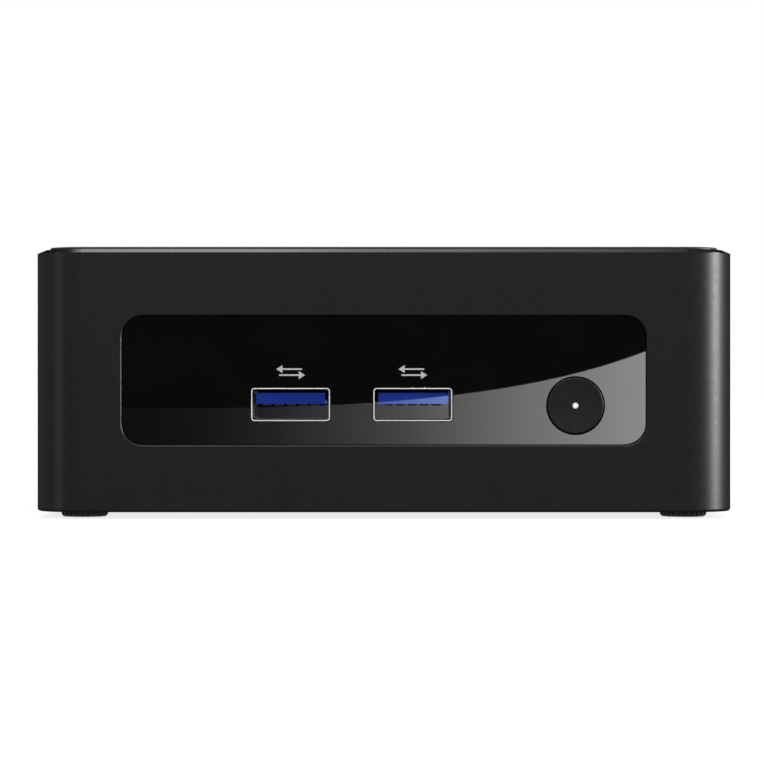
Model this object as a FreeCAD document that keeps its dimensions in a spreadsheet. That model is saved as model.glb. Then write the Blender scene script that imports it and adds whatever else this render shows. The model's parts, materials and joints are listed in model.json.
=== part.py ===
import FreeCAD, Part
import math
import os
import re

import Sketcher
from FreeCAD import Rotation, Vector

# A four-inch-board mini PC, in millimetres.
# +Z is up, the front with the power button faces -Y, and the origin is at the centre of the
# footprint, on the surface that the feet stand on.
# The aluminium body shell is open above and below. A plastic top cover drops into its rim, and a
# bottom cover carries the feet and their captive screws. The mainboard stands on four corner
# pillars, with the cooler above it and the memory, drive and radio cards below it.

SIZES = {
    # enclosure
    "body_width": 117.0,
    "body_depth": 112.0,
    "total_height": 45.4,
    "corner_radius": 8.0,
    "wall": 2.0,
    "chamfer_width": 1.4,
    "chamfer_height": 0.6,
    "base_rounding": 0.5,
    "lid_thickness": 2.0,
    "lid_rise": 0.4,
    "lid_gap": 0.15,
    "lid_edge": 0.25,
    "ledge_width": 1.5,
    "ledge_thickness": 1.3,
    "hook_width": 6.0,
    "hook_depth": 2.2,
    "hook_thickness": 0.8,
    "hook_spread": 30.0,
    "base_inset": 0.3,
    "base_thickness": 1.4,
    "base_gap": 0.2,
    "pillar_size": 13.5,
    "pillar_bite": 0.5,
    "thread_radius": 1.25,
    "thread_depth": 8.0,
    "fixing_spacing": 90.0,
    "fixing_boss_radius": 3.2,
    "fixing_boss_height": 3.0,
    # feet and the captive screws inside them
    "foot_height": 1.1,
    "foot_radius": 3.94,
    "foot_bore": 2.6,
    "foot_spread_x": 101.8,
    "foot_spread_y": 89.2,
    "foot_edge": 0.35,
    "flute_radius": 0.28,
    "screw_head_radius": 2.3,
    "screw_head_height": 1.1,
    "screw_radius": 1.2,
    "screw_length": 8.5,
    # vents
    "side_slot_width": 2.0,
    "side_slot_height": 13.0,
    "side_slot_run": 57.2,
    "side_slot_z": 30.0,
    "base_slot_width": 2.4,
    "base_slot_length": 15.0,
    "base_slot_run": 63.0,
    "base_slot_row": 22.0,
    "rear_slot_width": 1.9,
    "rear_slot_height": 6.4,
    "rear_slot_run": 79.8,
    "rear_slot_z": 37.0,
    "lock_width": 7.0,
    "lock_height": 3.0,
    "lock_corner": 0.6,
    "lock_y": 34.0,
    "lock_z": 12.0,
    # glossy front panel
    "panel_width": 87.1,
    "panel_height": 21.2,
    "panel_corner": 3.4,
    "panel_z": 23.1,
    "panel_recess": 0.3,
    "panel_gap": 0.15,
    "panel_flange": 2.2,
    "flange_thickness": 0.8,
    "opening_rounding": 0.3,
    # rear panel
    "rear_width": 98.0,
    "rear_height": 29.0,
    "rear_corner": 2.5,
    "rear_z": 27.0,
    "rear_recess": 0.5,
    "rear_flange": 1.3,
    "rear_flange_rise": 0.4,
    "rear_flange_thickness": 0.6,
    "rear_split_z": 32.8,
    "port_gap": 0.15,
    # USB-A sockets
    "usb_width": 13.1,
    "usb_height": 5.5,
    "usb_corner": 0.55,
    "usb_sheet": 0.17,
    "usb_depth": 14.0,
    "usb_proud": 0.05,
    "usb_left_x": -15.55,
    "usb_right_x": 4.8,
    "usb_z": 19.05,
    "tongue_width": 11.5,
    "tongue_thickness": 1.85,
    "tongue_drop": 0.8,
    "tongue_setback": 0.75,
    "tongue_root": 4.0,
    "contact_thickness": 0.3,
    "contact_width": 1.3,
    "contact_length": 6.0,
    "contact_pitch": 2.0,
    # power button, its light guide and its switch
    "button_x": 31.9,
    "button_z": 18.87,
    "button_radius": 4.69,
    "button_hole": 4.92,
    "button_proud": 0.1,
    "button_dish": 0.22,
    "button_edge": 0.25,
    "button_rounding": 0.2,
    "button_flange": 5.9,
    "button_flange_thickness": 0.8,
    "button_play": 0.1,
    "pusher_radius": 1.0,
    "pusher_offset": 3.4,
    "pusher_length": 0.9,
    "guide_radius": 0.5,
    "guide_disc": 1.5,
    "guide_disc_thickness": 0.6,
    "switch_y": 50.2,
    "switch_width": 4.6,
    "switch_depth": 3.6,
    "switch_height": 4.9,
    "plunger_radius": 0.8,
    "plunger_length": 1.5,
    "plunger_play": 0.05,
    "plunger_bore_depth": 1.4,
    "led_width": 1.6,
    "led_depth": 0.9,
    "led_height": 3.3,
    # mainboard
    "board_size": 101.6,
    "board_thickness": 1.6,
    "board_corner": 1.6,
    "board_z": 14.6,
    "board_y": 0.5,
    "board_hole_x": 93.6,
    "board_hole_y": 92.6,
    "board_hole_radius": 1.4,
    "board_head_radius": 1.9,
    "board_head_height": 1.4,
    "board_screw_radius": 0.95,
    "board_screw_length": 5.0,
    "board_pilot_radius": 1.0,
    "board_pilot_depth": 5.5,
    # processor and cooler
    "cpu_y": -6.0,
    "cpu_width": 46.0,
    "cpu_depth": 25.0,
    "cpu_thickness": 0.8,
    "die_width": 17.0,
    "die_depth": 10.0,
    "die_thickness": 0.7,
    "plate_width": 60.0,
    "plate_depth": 44.0,
    "plate_thickness": 2.0,
    "plate_corner": 3.0,
    "plate_hole_x": 52.0,
    "plate_hole_y": 36.0,
    "plate_head_radius": 2.0,
    "plate_head_height": 1.0,
    "plate_screw_radius": 1.0,
    "pipe_width": 8.0,
    "pipe_thickness": 2.2,
    "pipe_spread": 24.0,
    "pipe_bend": 6.0,
    "pipe_rise": 10.3,
    "pipe_start_y": -22.0,
    "pipe_bend_y": 11.0,
    "pipe_end_y": 47.0,
    "fin_width": 68.0,
    "fin_depth": 20.0,
    "fin_y": 39.0,
    "fin_height": 9.4,
    "fin_base": 0.8,
    "fin_thickness": 0.3,
    "choke_x": -38.0,
    "choke_y": -22.0,
    "choke_pitch": 8.0,
    "choke_size": 6.5,
    "choke_height": 3.0,
    "fan_header_x": 44.0,
    "fan_header_width": 3.2,
    "fan_header_depth": 6.4,
    "fan_header_height": 3.4,
    # blower
    "blower_y": -8.0,
    "blower_radius": 34.0,
    "blower_z": 32.4,
    "blower_height": 10.0,
    "blower_wall": 1.2,
    "blower_outlet_y": 28.0,
    "blower_floor": 0.8,
    "blower_lid": 0.6,
    "intake_radius": 18.0,
    "rotor_radius": 24.0,
    "rotor_z": 34.2,
    "rotor_height": 6.8,
    "rotor_web": 0.8,
    "hub_radius": 11.0,
    "hub_wall": 1.2,
    "blade_thickness": 0.6,
    "blade_root": 15.0,
    "blade_tip": 23.3,
    "blade_slant": 5.2,
    "shaft_radius": 1.0,
    "shaft_clearance": 0.03,
    "bearing_radius": 3.0,
    "stator_radius": 8.6,
    "stator_gap": 0.3,
    "stator_slot_length": 4.7,
    "stator_slot_width": 2.2,
    "stator_slot_x": 6.9,
    "post_radius": 2.4,
    "post_reach": 36.6,
    "post_rear_y": 20.0,
    "post_bore_radius": 1.0,
    "post_bore_depth": 4.0,
    "ear_radius": 3.4,
    "ear_thickness": 1.2,
    "blower_screw_radius": 0.95,
    "blower_screw_length": 3.5,
    # memory
    "memory_width": 69.6,
    "memory_depth": 30.0,
    "memory_thickness": 1.0,
    "memory_front_y": -44.0,
    "memory_upper_z": 10.9,
    "memory_lower_z": 6.9,
    "socket_width": 76.0,
    "socket_depth": 7.0,
    "socket_height": 9.2,
    "socket_arm": 2.4,
    "socket_arm_length": 24.0,
    "memory_insertion": 3.0,
    "memory_chip_width": 10.0,
    "memory_chip_depth": 13.0,
    "memory_chip_pitch": 16.0,
    "memory_chip_y": 12.6,
    "memory_notch_x": 8.4,
    "memory_notch_width": 1.5,
    "memory_notch_depth": 1.5,
    "chip_thickness": 0.9,
    # drive and radio cards
    "card_width": 22.0,
    "card_thickness": 0.8,
    "card_z": 11.9,
    "card_socket_height": 4.2,
    "card_socket_depth": 6.0,
    "card_insertion": 2.0,
    "card_chip_depth": 13.2,
    "card_post_radius": 3.0,
    "card_bore_radius": 1.35,
    "card_screw_radius": 1.2,
    "card_screw_length": 2.4,
    "card_head_radius": 2.7,
    "card_head_height": 1.2,
    "card_end_radius": 1.5,
    "drive_length": 80.0,
    "drive_x": -40.0,
    "drive_y": 9.0,
    "radio_length": 30.0,
    "radio_x": -35.0,
    "radio_y": 34.0,
    # coin cell
    "cell_radius": 10.0,
    "cell_thickness": 3.2,
    "cell_cap_radius": 8.6,
    "cell_cap_thickness": 0.8,
    "holder_wall": 1.2,
    "holder_floor": 0.8,
    "cell_x": 26.0,
    "cell_y": 35.0,
    # antennas and internal leads
    "antenna_width": 9.0,
    "antenna_length": 34.0,
    "antenna_thickness": 0.6,
    "antenna_x": 48.0,
    "antenna_y": 21.0,
    "coax_radius": 0.6,
    "coax_drop": 1.6,
    "coax_low_z": 8.2,
    "coax_edge": 53.5,
    "coax_lean": 0.3,
    "fan_lead_radius": 0.8,
    # rear sockets
    "stack_x": -37.0,
    "stack_height": 15.5,
    "stack_depth": 17.0,
    "stack_pitch": 8.2,
    "stack_floor": 0.9,
    "lan_x": -19.8,
    "lan_width": 16.0,
    "lan_height": 13.4,
    "lan_depth": 21.0,
    "lan_opening_width": 11.9,
    "lan_opening_height": 8.2,
    "lan_opening_depth": 14.0,
    "lan_opening_rise": 1.6,
    "lan_latch_width": 4.0,
    "lan_latch_height": 1.6,
    "lan_latch_depth": 8.4,
    "lan_contact_pitch": 1.02,
    "lan_contact_width": 0.35,
    "lan_contact_length": 7.0,
    "lan_contact_height": 0.5,
    "hdmi_left_x": -1.7,
    "hdmi_right_x": 15.9,
    "hdmi_tongue_z": 3.4,
    "hdmi_block": 2.5,
    "hdmi_width": 15.0,
    "hdmi_height": 5.9,
    "hdmi_taper": 1.6,
    "hdmi_depth": 11.5,
    "hdmi_sheet": 0.45,
    "hdmi_tongue_width": 11.4,
    "hdmi_tongue_thickness": 1.2,
    "audio_x": 29.0,
    "audio_width": 6.0,
    "audio_height": 5.6,
    "audio_depth": 12.0,
    "audio_bore": 1.8,
    "audio_ring": 2.6,
    "dc_x": 39.1,
    "dc_width": 9.0,
    "dc_height": 11.0,
    "dc_depth": 14.0,
    "dc_bore": 3.15,
    "dc_bore_depth": 10.0,
    "dc_pin_radius": 1.0,
    "dc_rise": 6.4,
}

# Places worked out from the sizes, as expressions.
BODY_TOP = "(total_height - lid_rise)"
LID_SEAT = "(total_height - lid_thickness)"
BASE_BOTTOM = "(foot_height + base_inset)"
BASE_TOP = "(foot_height + base_inset + base_thickness)"
FRONT = "(body_depth / 2)"
INNER_FRONT = "(body_depth / 2 - wall)"
CAVITY_WIDTH = "(body_width - 2 * wall)"
CAVITY_DEPTH = "(body_depth - 2 * wall)"
CAVITY_CORNER = "(corner_radius - wall)"
BOARD_TOP = "(board_z + board_thickness)"
PILLAR_X = "(body_width / 2 - wall + pillar_bite - pillar_size / 2)"
PILLAR_Y = "(body_depth / 2 - wall + pillar_bite - pillar_size / 2)"
PANEL_FACE = "(body_depth / 2 - panel_recess)"
PANEL_BACK = "(body_depth / 2 - wall - flange_thickness)"
REAR_FACE = "(body_depth / 2 - rear_recess)"
PLATE_BOTTOM = "(board_z + board_thickness + cpu_thickness + die_thickness)"
PLATE_TOP = f"({PLATE_BOTTOM} + plate_thickness)"
BLOWER_TOP = "(blower_z + blower_height)"
TONGUE_Z = "(usb_height / 2 - tongue_drop - tongue_thickness / 2)"
BUTTON_FACE = f"({PANEL_FACE} + button_proud)"
BUTTON_RISE = f"({BUTTON_FACE} - {PANEL_BACK} + button_play)"
SWITCH_X = "(button_x + pusher_offset)"
PLUNGER_FRONT = (f"({PANEL_BACK} - button_play - button_flange_thickness"
                 " - pusher_length - plunger_play)")
FIN_BOTTOM = f"({PLATE_TOP} + pipe_thickness + pipe_rise)"
MEMORY_SOCKET_Y = "(memory_front_y + memory_depth - memory_insertion + socket_depth / 2)"
REAR_OUT = f"({REAR_FACE} + usb_proud)"
STACK_FIRST = "(stack_floor + usb_height / 2)"
AUDIO_Z = f"({BOARD_TOP} + usb_proud + audio_height / 2)"
BEARING_HEIGHT = "(rotor_height - hub_wall)"
HEADER_TOP = f"({BOARD_TOP} + fan_header_height)"
UNDER_LID = f"({LID_SEAT} - 2 * antenna_thickness - coax_radius / 2)"

# Points of the leads' routes: where each radio lead runs under the board, and the whole fan lead.
RADIO_LEAD_LEFT = [("-14", "30"), ("-28", "28"), ("-44", "26")]
RADIO_LEAD_RIGHT = [("-14", "38"), ("2", "35"), ("20", "28.5"), ("38", "27")]
FAN_LEAD = [("blower_radius", "6", "(blower_z + 2.6)"), ("(blower_radius + 4)", "6", "(blower_z + 2.6)"),
            ("(fan_header_x - 0.5)", "3", "(blower_z - 3)"), ("fan_header_x", "0", f"({HEADER_TOP} + 5)"),
            ("fan_header_x", "0", HEADER_TOP)]

# Where each card's chips are along its length, as a share of it, and how long they are.
DRIVE_CHIPS = [("0.2", "8.0"), ("0.45", "14.0"), ("0.72", "14.0")]
RADIO_CHIPS = [("0.45", "12.0")]

# Shares that give a screw's head its shape, a slot its round ends and a lead its bends.
HEAD_SIDE = 0.5
HEAD_TOP = 0.75
RECESS_REACH = 0.55
RECESS_WIDTH = 0.12
RECESS_DEPTH = 0.6
SLOT_END = 0.45
BEND_REACH = 0.45

FLUTES = 24
SIDE_SLOTS = 14
BASE_SLOTS = 16
REAR_SLOTS = 22
BLADES = 27
FINS = 35
STATOR_SLOTS = 6

doc = FreeCAD.newDocument("MiniPC")
sheet = doc.addObject("Spreadsheet::Sheet", "Sizes")
for line_number, (alias, size) in enumerate(SIZES.items(), start=1):
    sheet.set(f"A{line_number}", alias)
    sheet.set(f"B{line_number}", str(size))
    sheet.setAlias(f"B{line_number}", alias)
doc.recompute()

nodes = []


# ---------------------------------------------------------------- helpers


def named(expression):
    """The expression with the sheet's name in front of each alias."""
    return re.sub(r"\b([a-z]\w+)\b(?!\()", r"Sizes.\1", str(expression))


def number(expression):
    """What an expression comes to now."""
    return float(sheet.evalExpression(named(expression)))


def bind(item, prop, expression):
    item.setExpression(prop, named(expression))


def place(item, x="0", y="0", z="0"):
    """Binds where an object's own origin goes."""
    for axis, expression in zip("xyz", (x, y, z)):
        bind(item, f"Placement.Base.{axis}", expression)


def keep(item, name):
    """Labels a finished sub-part and puts it on the list of parts to write."""
    item.Label = name
    nodes.append(item)
    return item


def new_body(name, x="0", y="0", z="0"):
    body = doc.addObject("PartDesign::Body", name)
    place(body, x, y, z)
    return keep(body, name)


def origin_part(body, role):
    return next(f for f in body.Origin.OriginFeatures if f.Role == role)


def sketch_on(body, plane, offset="0"):
    """A sketch on the XY, XZ or YZ plane. An XZ sketch's offset grows towards -Y, the front."""
    sketch = body.newObject("Sketcher::SketchObject", "Profile")
    sketch.AttachmentSupport = (origin_part(body, plane + "_Plane"), [""])
    sketch.MapMode = "FlatFace"
    bind(sketch, "AttachmentOffset.Base.z", offset)
    return sketch


def dimension(sketch, kind, *ends_and_value):
    """Adds a dimension whose last argument is the expression that drives it."""
    *ends, expression = ends_and_value
    index = sketch.addConstraint(Sketcher.Constraint(kind, *ends, number(expression)))
    bind(sketch, f"Constraints[{index}]", expression)


def draw_circle(sketch, radius, x="0", y="0"):
    centre = Vector(number(x), number(y), 0)
    curve = sketch.addGeometry(Part.Circle(centre, Vector(0, 0, 1), number(radius)), False)
    dimension(sketch, "Radius", curve, radius)
    dimension(sketch, "DistanceX", -1, 1, curve, 3, x)
    dimension(sketch, "DistanceY", -1, 1, curve, 3, y)


def draw_outline(sketch, points):
    """A closed polygon whose corners are pairs of expressions."""
    corners = [Vector(number(x), number(y), 0) for x, y in points]
    lines = []
    for start, end in zip(corners, corners[1:] + corners[:1]):
        lines.append(sketch.addGeometry(Part.LineSegment(start, end), False))
    for line, following in zip(lines, lines[1:] + lines[:1]):
        sketch.addConstraint(Sketcher.Constraint("Coincident", line, 2, following, 1))
    for line, (x, y) in zip(lines, points):
        dimension(sketch, "DistanceX", -1, 1, line, 1, x)
        dimension(sketch, "DistanceY", -1, 1, line, 1, y)


def draw_rectangle(sketch, width, height, x="0", y="0"):
    left, right = f"{x} - {width} / 2", f"{x} + {width} / 2"
    low, high = f"{y} - {height} / 2", f"{y} + {height} / 2"
    draw_outline(sketch, [(left, low), (right, low), (right, high), (left, high)])


def draw_rounded(sketch, width, height, radius, x="0", y="0"):
    """A rectangle centred on x, y with four equal corner arcs."""
    middle = Vector(number(x), number(y), 0)
    half_w, half_h, r = number(width) / 2, number(height) / 2, number(radius)
    corners = [(1, -1), (1, 1), (-1, 1), (-1, -1)]
    parts = []
    for quarter, (sx, sy) in enumerate(corners):
        centre = middle + Vector(sx * (half_w - r), sy * (half_h - r), 0)
        first = (quarter - 1) * math.pi / 2
        circle = Part.Circle(centre, Vector(0, 0, 1), r)
        arc = Part.ArcOfCircle(circle, first, first + math.pi / 2)
        parts.append(sketch.addGeometry(arc, False))
        nx, ny = corners[(quarter + 1) % 4]
        following = middle + Vector(nx * (half_w - r), ny * (half_h - r), 0)
        out = Vector(r * math.cos(first + math.pi / 2), r * math.sin(first + math.pi / 2), 0)
        parts.append(sketch.addGeometry(Part.LineSegment(centre + out, following + out), False))
    for part, following in zip(parts, parts[1:] + parts[:1]):
        sketch.addConstraint(Sketcher.Constraint("Tangent", part, 2, following, 1))
    arcs, sides = parts[0::2], parts[1::2]
    for arc in arcs[1:]:
        sketch.addConstraint(Sketcher.Constraint("Equal", arcs[0], arc))
    sketch.addConstraint(Sketcher.Constraint("Vertical", sides[0]))
    sketch.addConstraint(Sketcher.Constraint("Horizontal", sides[1]))
    sketch.addConstraint(Sketcher.Constraint("Vertical", sides[2]))
    sketch.addConstraint(Sketcher.Constraint("Horizontal", sides[3]))
    dimension(sketch, "Radius", arcs[0], radius)
    dimension(sketch, "DistanceX", arcs[3], 3, arcs[0], 3, f"{width} - 2 * {radius}")
    dimension(sketch, "DistanceY", arcs[0], 3, arcs[1], 3, f"{height} - 2 * {radius}")
    dimension(sketch, "DistanceX", -1, 1, arcs[0], 3, f"{x} + {width} / 2 - {radius}")
    dimension(sketch, "DistanceY", -1, 1, arcs[0], 3, f"{y} - {height} / 2 + {radius}")


def pad(body, sketch, length, backwards=False, both_ways=False):
    feature = body.newObject("PartDesign::Pad", "Pad")
    feature.Profile = sketch
    feature.Reversed = backwards
    feature.Midplane = both_ways
    bind(feature, "Length", length)
    return settle(feature)


def pocket(body, sketch, length, backwards=False, both_ways=False):
    """Cuts the profile away, and checks that something was cut."""
    before = body.Shape.Volume
    feature = body.newObject("PartDesign::Pocket", "Pocket")
    feature.Profile = sketch
    feature.Reversed = backwards
    feature.Midplane = both_ways
    bind(feature, "Length", length)
    settle(feature)
    if body.Shape.Volume > before - 1e-6:
        raise RuntimeError(f"a pocket in {body.Label} cuts nothing")
    return feature


def revolve(body, sketch):
    """Turns the profile about its own vertical axis."""
    feature = body.newObject("PartDesign::Revolution", "Revolution")
    feature.Profile = sketch
    feature.ReferenceAxis = (sketch, ["V_Axis"])
    feature.Angle = 360
    return settle(feature)


def settle(feature):
    doc.recompute()
    if "Invalid" in feature.State or "Error" in feature.State:
        raise RuntimeError(f"{feature.Name} failed: {feature.State}")
    return feature


def edges_where(item, test):
    """Names of the edges whose every sampled point passes the test."""
    found = []
    for index, edge in enumerate(item.Shape.Edges, start=1):
        first, last = edge.ParameterRange
        if all(test(edge.valueAt(first + (last - first) * k / 4)) for k in range(5)):
            found.append(f"Edge{index}")
    return found


def fillet(body, radius, test):
    base = body.Tip
    feature = body.newObject("PartDesign::Fillet", "Fillet")
    feature.Base = (base, edges_where(base, test))
    bind(feature, "Radius", radius)
    return settle(feature)


def chamfer(body, size, test, second=None):
    base = body.Tip
    feature = body.newObject("PartDesign::Chamfer", "Chamfer")
    feature.Base = (base, edges_where(base, test))
    bind(feature, "Size", size)
    if second:
        feature.ChamferType = "Two distances"
        bind(feature, "Size2", second)
    return settle(feature)


def repeat_along(body, feature, axis, run, count):
    """Repeats a feature count times along an origin axis, over a run."""
    pattern = body.newObject("PartDesign::LinearPattern", "Pattern")
    pattern.Originals = [feature]
    pattern.Direction = (origin_part(body, axis + "_Axis"), [""])
    pattern.Mode = "Extent"
    pattern.Occurrences = count
    bind(pattern, "Length", run)
    body.Tip = pattern
    return settle(pattern)


def repeat_round(body, feature, count):
    """Repeats a feature count times round the body's own Z axis."""
    pattern = body.newObject("PartDesign::PolarPattern", "Pattern")
    pattern.Originals = [feature]
    pattern.Axis = (origin_part(body, "Z_Axis"), [""])
    pattern.Angle = 360
    pattern.Occurrences = count
    body.Tip = pattern
    return settle(pattern)


def box(centre, size, name="Block"):
    """A block centred on x and y that stands on z. All are expressions."""
    (x, y, z), (width, depth, height) = centre, size
    item = doc.addObject("Part::Box", name)
    bind(item, "Length", width)
    bind(item, "Width", depth)
    bind(item, "Height", height)
    place(item, f"{x} - {width} / 2", f"{y} - {depth} / 2", z)
    return item


def cylinder(base, radius, height, along="Z"):
    """A cylinder from its base centre, along Z or along +Y."""
    item = doc.addObject("Part::Cylinder", "Round")
    bind(item, "Radius", radius)
    bind(item, "Height", height)
    if along == "Y":
        item.Placement = FreeCAD.Placement(Vector(), Rotation(Vector(1, 0, 0), -90))
    place(item, *base)
    return item


def join(items):
    """One solid from several that touch or overlap."""
    item = doc.addObject("Part::MultiFuse", "Union")
    item.Shapes = items
    item.Refine = True
    return item


def cut(base, tool):
    item = doc.addObject("Part::Cut", "Cut")
    item.Base = base
    item.Tool = tool
    return item


def group(items, name):
    """Several separate solids that share one node."""
    item = doc.addObject("Part::Compound", name)
    item.Links = items
    return keep(item, name)


def four_corners(width, depth, y="0"):
    """Expressions for the four corners of a rectangle centred on x = 0."""
    return [
        (f"{sx} * {width} / 2", f"{y} + {sy} * {depth} / 2")
        for sx, sy in ((-1, -1), (1, -1), (-1, 1), (1, 1))
    ]


def near(value, expression, tolerance=1e-4):
    return abs(value - number(expression)) < tolerance


# ---------------------------------------------------------------- enclosure


def body_shell():
    """The aluminium tube: walls, lid ledge, four corner pillars and every opening."""
    body = new_body("body_shell")
    outline = sketch_on(body, "XY", "foot_height")
    draw_rounded(outline, "body_width", "body_depth", "corner_radius")
    pad(body, outline, f"{BODY_TOP} - foot_height")
    chamfer(body, "chamfer_height", lambda p: near(p.z, BODY_TOP), second="chamfer_width")
    fillet(body, "base_rounding", lambda p: near(p.z, "foot_height"))
    cavity = sketch_on(body, "XY", BODY_TOP)
    draw_rounded(cavity, CAVITY_WIDTH, CAVITY_DEPTH, CAVITY_CORNER)
    pocket(body, cavity, f"{BODY_TOP} - foot_height")
    add_lid_ledge(body)
    add_pillars(body)
    cut_front_opening(body)
    cut_rear_opening(body)
    cut_side_vents(body)
    cut_lock_slot(body)


def add_lid_ledge(body):
    """A shelf round the inside of the rim, which the top cover rests on."""
    ledge = sketch_on(body, "XY", f"{LID_SEAT} - ledge_thickness")
    draw_rounded(ledge, f"({CAVITY_WIDTH} + wall)", f"({CAVITY_DEPTH} + wall)", "(corner_radius - wall / 2)")
    inside = f"({CAVITY_WIDTH} - 2 * ledge_width)", f"({CAVITY_DEPTH} - 2 * ledge_width)"
    draw_rounded(ledge, *inside, f"({CAVITY_CORNER} - ledge_width)")
    pad(body, ledge, "ledge_thickness")


def add_pillars(body):
    """Four columns that the cover screws enter from below and the board screws from above."""
    columns = sketch_on(body, "XY", BASE_TOP)
    radius = f"({CAVITY_CORNER} + pillar_bite)"
    for x, y in four_corners(f"(2 * {PILLAR_X})", f"(2 * {PILLAR_Y})"):
        draw_rounded(columns, "pillar_size", "pillar_size", radius, x, y)
    pad(body, columns, f"board_z - {BASE_TOP}")
    threads = sketch_on(body, "XY", BASE_TOP)
    for x, y in four_corners("foot_spread_x", "foot_spread_y"):
        draw_circle(threads, "thread_radius", x, y)
    pocket(body, threads, "thread_depth", backwards=True)
    pilots = sketch_on(body, "XY", "board_z")
    for x, y in four_corners("board_hole_x", "board_hole_y", "board_y"):
        draw_circle(pilots, "board_pilot_radius", x, y)
    pocket(body, pilots, "board_pilot_depth")


def cut_front_opening(body):
    """The window for the glossy panel, and the seat for the flange behind the wall."""
    window = sketch_on(body, "XZ", FRONT)
    width, height = "(panel_width + 2 * panel_gap)", "(panel_height + 2 * panel_gap)"
    draw_rounded(window, width, height, "(panel_corner + panel_gap)", "0", "panel_z")
    pocket(body, window, "wall")
    reach = number(f"{width} / 2")
    fillet(body, "opening_rounding", lambda p: near(p.y, "-body_depth / 2") and abs(p.x) < reach + 1e-3)
    seat = sketch_on(body, "XZ", INNER_FRONT)
    width = "(panel_width + 2 * panel_flange + 4 * panel_gap)"
    height = "(panel_height + 2 * panel_flange + 4 * panel_gap)"
    draw_rounded(seat, width, height, "(panel_corner + panel_flange)", "0", "panel_z")
    pocket(body, seat, "flange_thickness + 2 * panel_gap")


def cut_rear_opening(body):
    window = sketch_on(body, "XZ", "-body_depth / 2")
    draw_rounded(window, "rear_width", "rear_height", "rear_corner", "0", "rear_z")
    pocket(body, window, "wall", backwards=True)
    seat = sketch_on(body, "XZ", "-(body_depth / 2 - wall)")
    width = "(rear_width + 2 * rear_flange + 4 * panel_gap)"
    height = "(rear_height + 2 * rear_flange_rise + 2 * panel_gap)"
    draw_rounded(seat, width, height, "rear_corner", "0", "rear_z")
    pocket(body, seat, "rear_flange_thickness + 2 * panel_gap", backwards=True)


def cut_side_vents(body):
    """One pocket goes through both side walls, repeated along the depth."""
    slot = sketch_on(body, "YZ")
    draw_rounded(slot, "side_slot_width", "side_slot_height", f"(side_slot_width * {SLOT_END})",
                 "(-side_slot_run / 2)", "side_slot_z")
    vent = pocket(body, slot, "2 * body_width", both_ways=True)
    repeat_along(body, vent, "Y", "side_slot_run", SIDE_SLOTS)


def cut_lock_slot(body):
    slot = sketch_on(body, "YZ", "body_width / 2")
    draw_rounded(slot, "lock_width", "lock_height", "lock_corner", "lock_y", "lock_z")
    pocket(body, slot, "2 * wall")


def top_cover():
    """The plastic lid, with four snap hooks that catch under the ledge."""
    body = new_body("top_cover")
    width, depth = f"({CAVITY_WIDTH} - 2 * lid_gap)", f"({CAVITY_DEPTH} - 2 * lid_gap)"
    outline = sketch_on(body, "XY", LID_SEAT)
    draw_rounded(outline, width, depth, f"({CAVITY_CORNER} - lid_gap)")
    pad(body, outline, "lid_thickness")
    fillet(body, "lid_edge", lambda p: near(p.z, "total_height"))
    legs = sketch_on(body, "XY", LID_SEAT)
    barbs = sketch_on(body, "XY", f"{LID_SEAT} - hook_depth")
    barb_depth = f"({CAVITY_DEPTH} - 2 * ledge_width - 2 * lid_gap)"
    for x, y in four_corners("(2 * hook_spread)", f"({barb_depth} - hook_thickness)"):
        draw_rectangle(legs, "hook_width", "hook_thickness", x, f"({y})")
    for x, y in four_corners("(2 * hook_spread)", barb_depth):
        draw_rectangle(barbs, "hook_width", "hook_thickness", x, f"({y})")
    pad(body, legs, "hook_depth", backwards=True)
    pad(body, barbs, "hook_depth - ledge_thickness - lid_gap")


def bottom_cover():
    """The steel base plate, with vents, screw holes and two bosses for a bracket's screws."""
    body = new_body("bottom_cover")
    width, depth = f"({CAVITY_WIDTH} - 2 * base_gap)", f"({CAVITY_DEPTH} - 2 * base_gap)"
    outline = sketch_on(body, "XY", BASE_BOTTOM)
    draw_rounded(outline, width, depth, f"({CAVITY_CORNER} - base_gap)")
    pad(body, outline, "base_thickness")
    bosses = sketch_on(body, "XY", BASE_TOP)
    holes = sketch_on(body, "XY", BASE_BOTTOM)
    for side in (-1, 1):
        draw_circle(bosses, "fixing_boss_radius", f"{side} * fixing_spacing / 2")
        draw_circle(holes, "thread_radius", f"{side} * fixing_spacing / 2")
    for x, y in four_corners("foot_spread_x", "foot_spread_y"):
        draw_circle(holes, "(screw_radius + base_gap)", x, y)
    pad(body, bosses, "fixing_boss_height")
    pocket(body, holes, "base_thickness + fixing_boss_height", backwards=True)
    slots = sketch_on(body, "XY", BASE_BOTTOM)
    for side in (-1, 1):
        draw_rounded(slots, "base_slot_width", "base_slot_length", f"(base_slot_width * {SLOT_END})",
                     "(-base_slot_run / 2)", f"({side} * base_slot_row / 2)")
    vent = pocket(body, slots, "base_thickness", backwards=True)
    repeat_along(body, vent, "X", "base_slot_run", BASE_SLOTS)


def foot(name, x, y):
    """A fluted rubber ring round the head of a cover screw."""
    body = new_body(name, x, y)
    outline = sketch_on(body, "XY")
    draw_circle(outline, "foot_radius")
    draw_circle(outline, "foot_bore")
    pad(body, outline, BASE_BOTTOM)
    chamfer(body, "foot_edge", lambda p: near(p.z, "0") and near(math.hypot(p.x, p.y), "foot_radius"))
    flute = sketch_on(body, "XY")
    draw_circle(flute, "flute_radius", "foot_radius")
    groove = pocket(body, flute, BASE_BOTTOM, backwards=True)
    repeat_round(body, groove, FLUTES)


def feet():
    names = ("foot_front_left", "foot_front_right", "foot_rear_left", "foot_rear_right")
    for name, (x, y) in zip(names, four_corners("foot_spread_x", "foot_spread_y")):
        foot(name, x, y)


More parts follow.
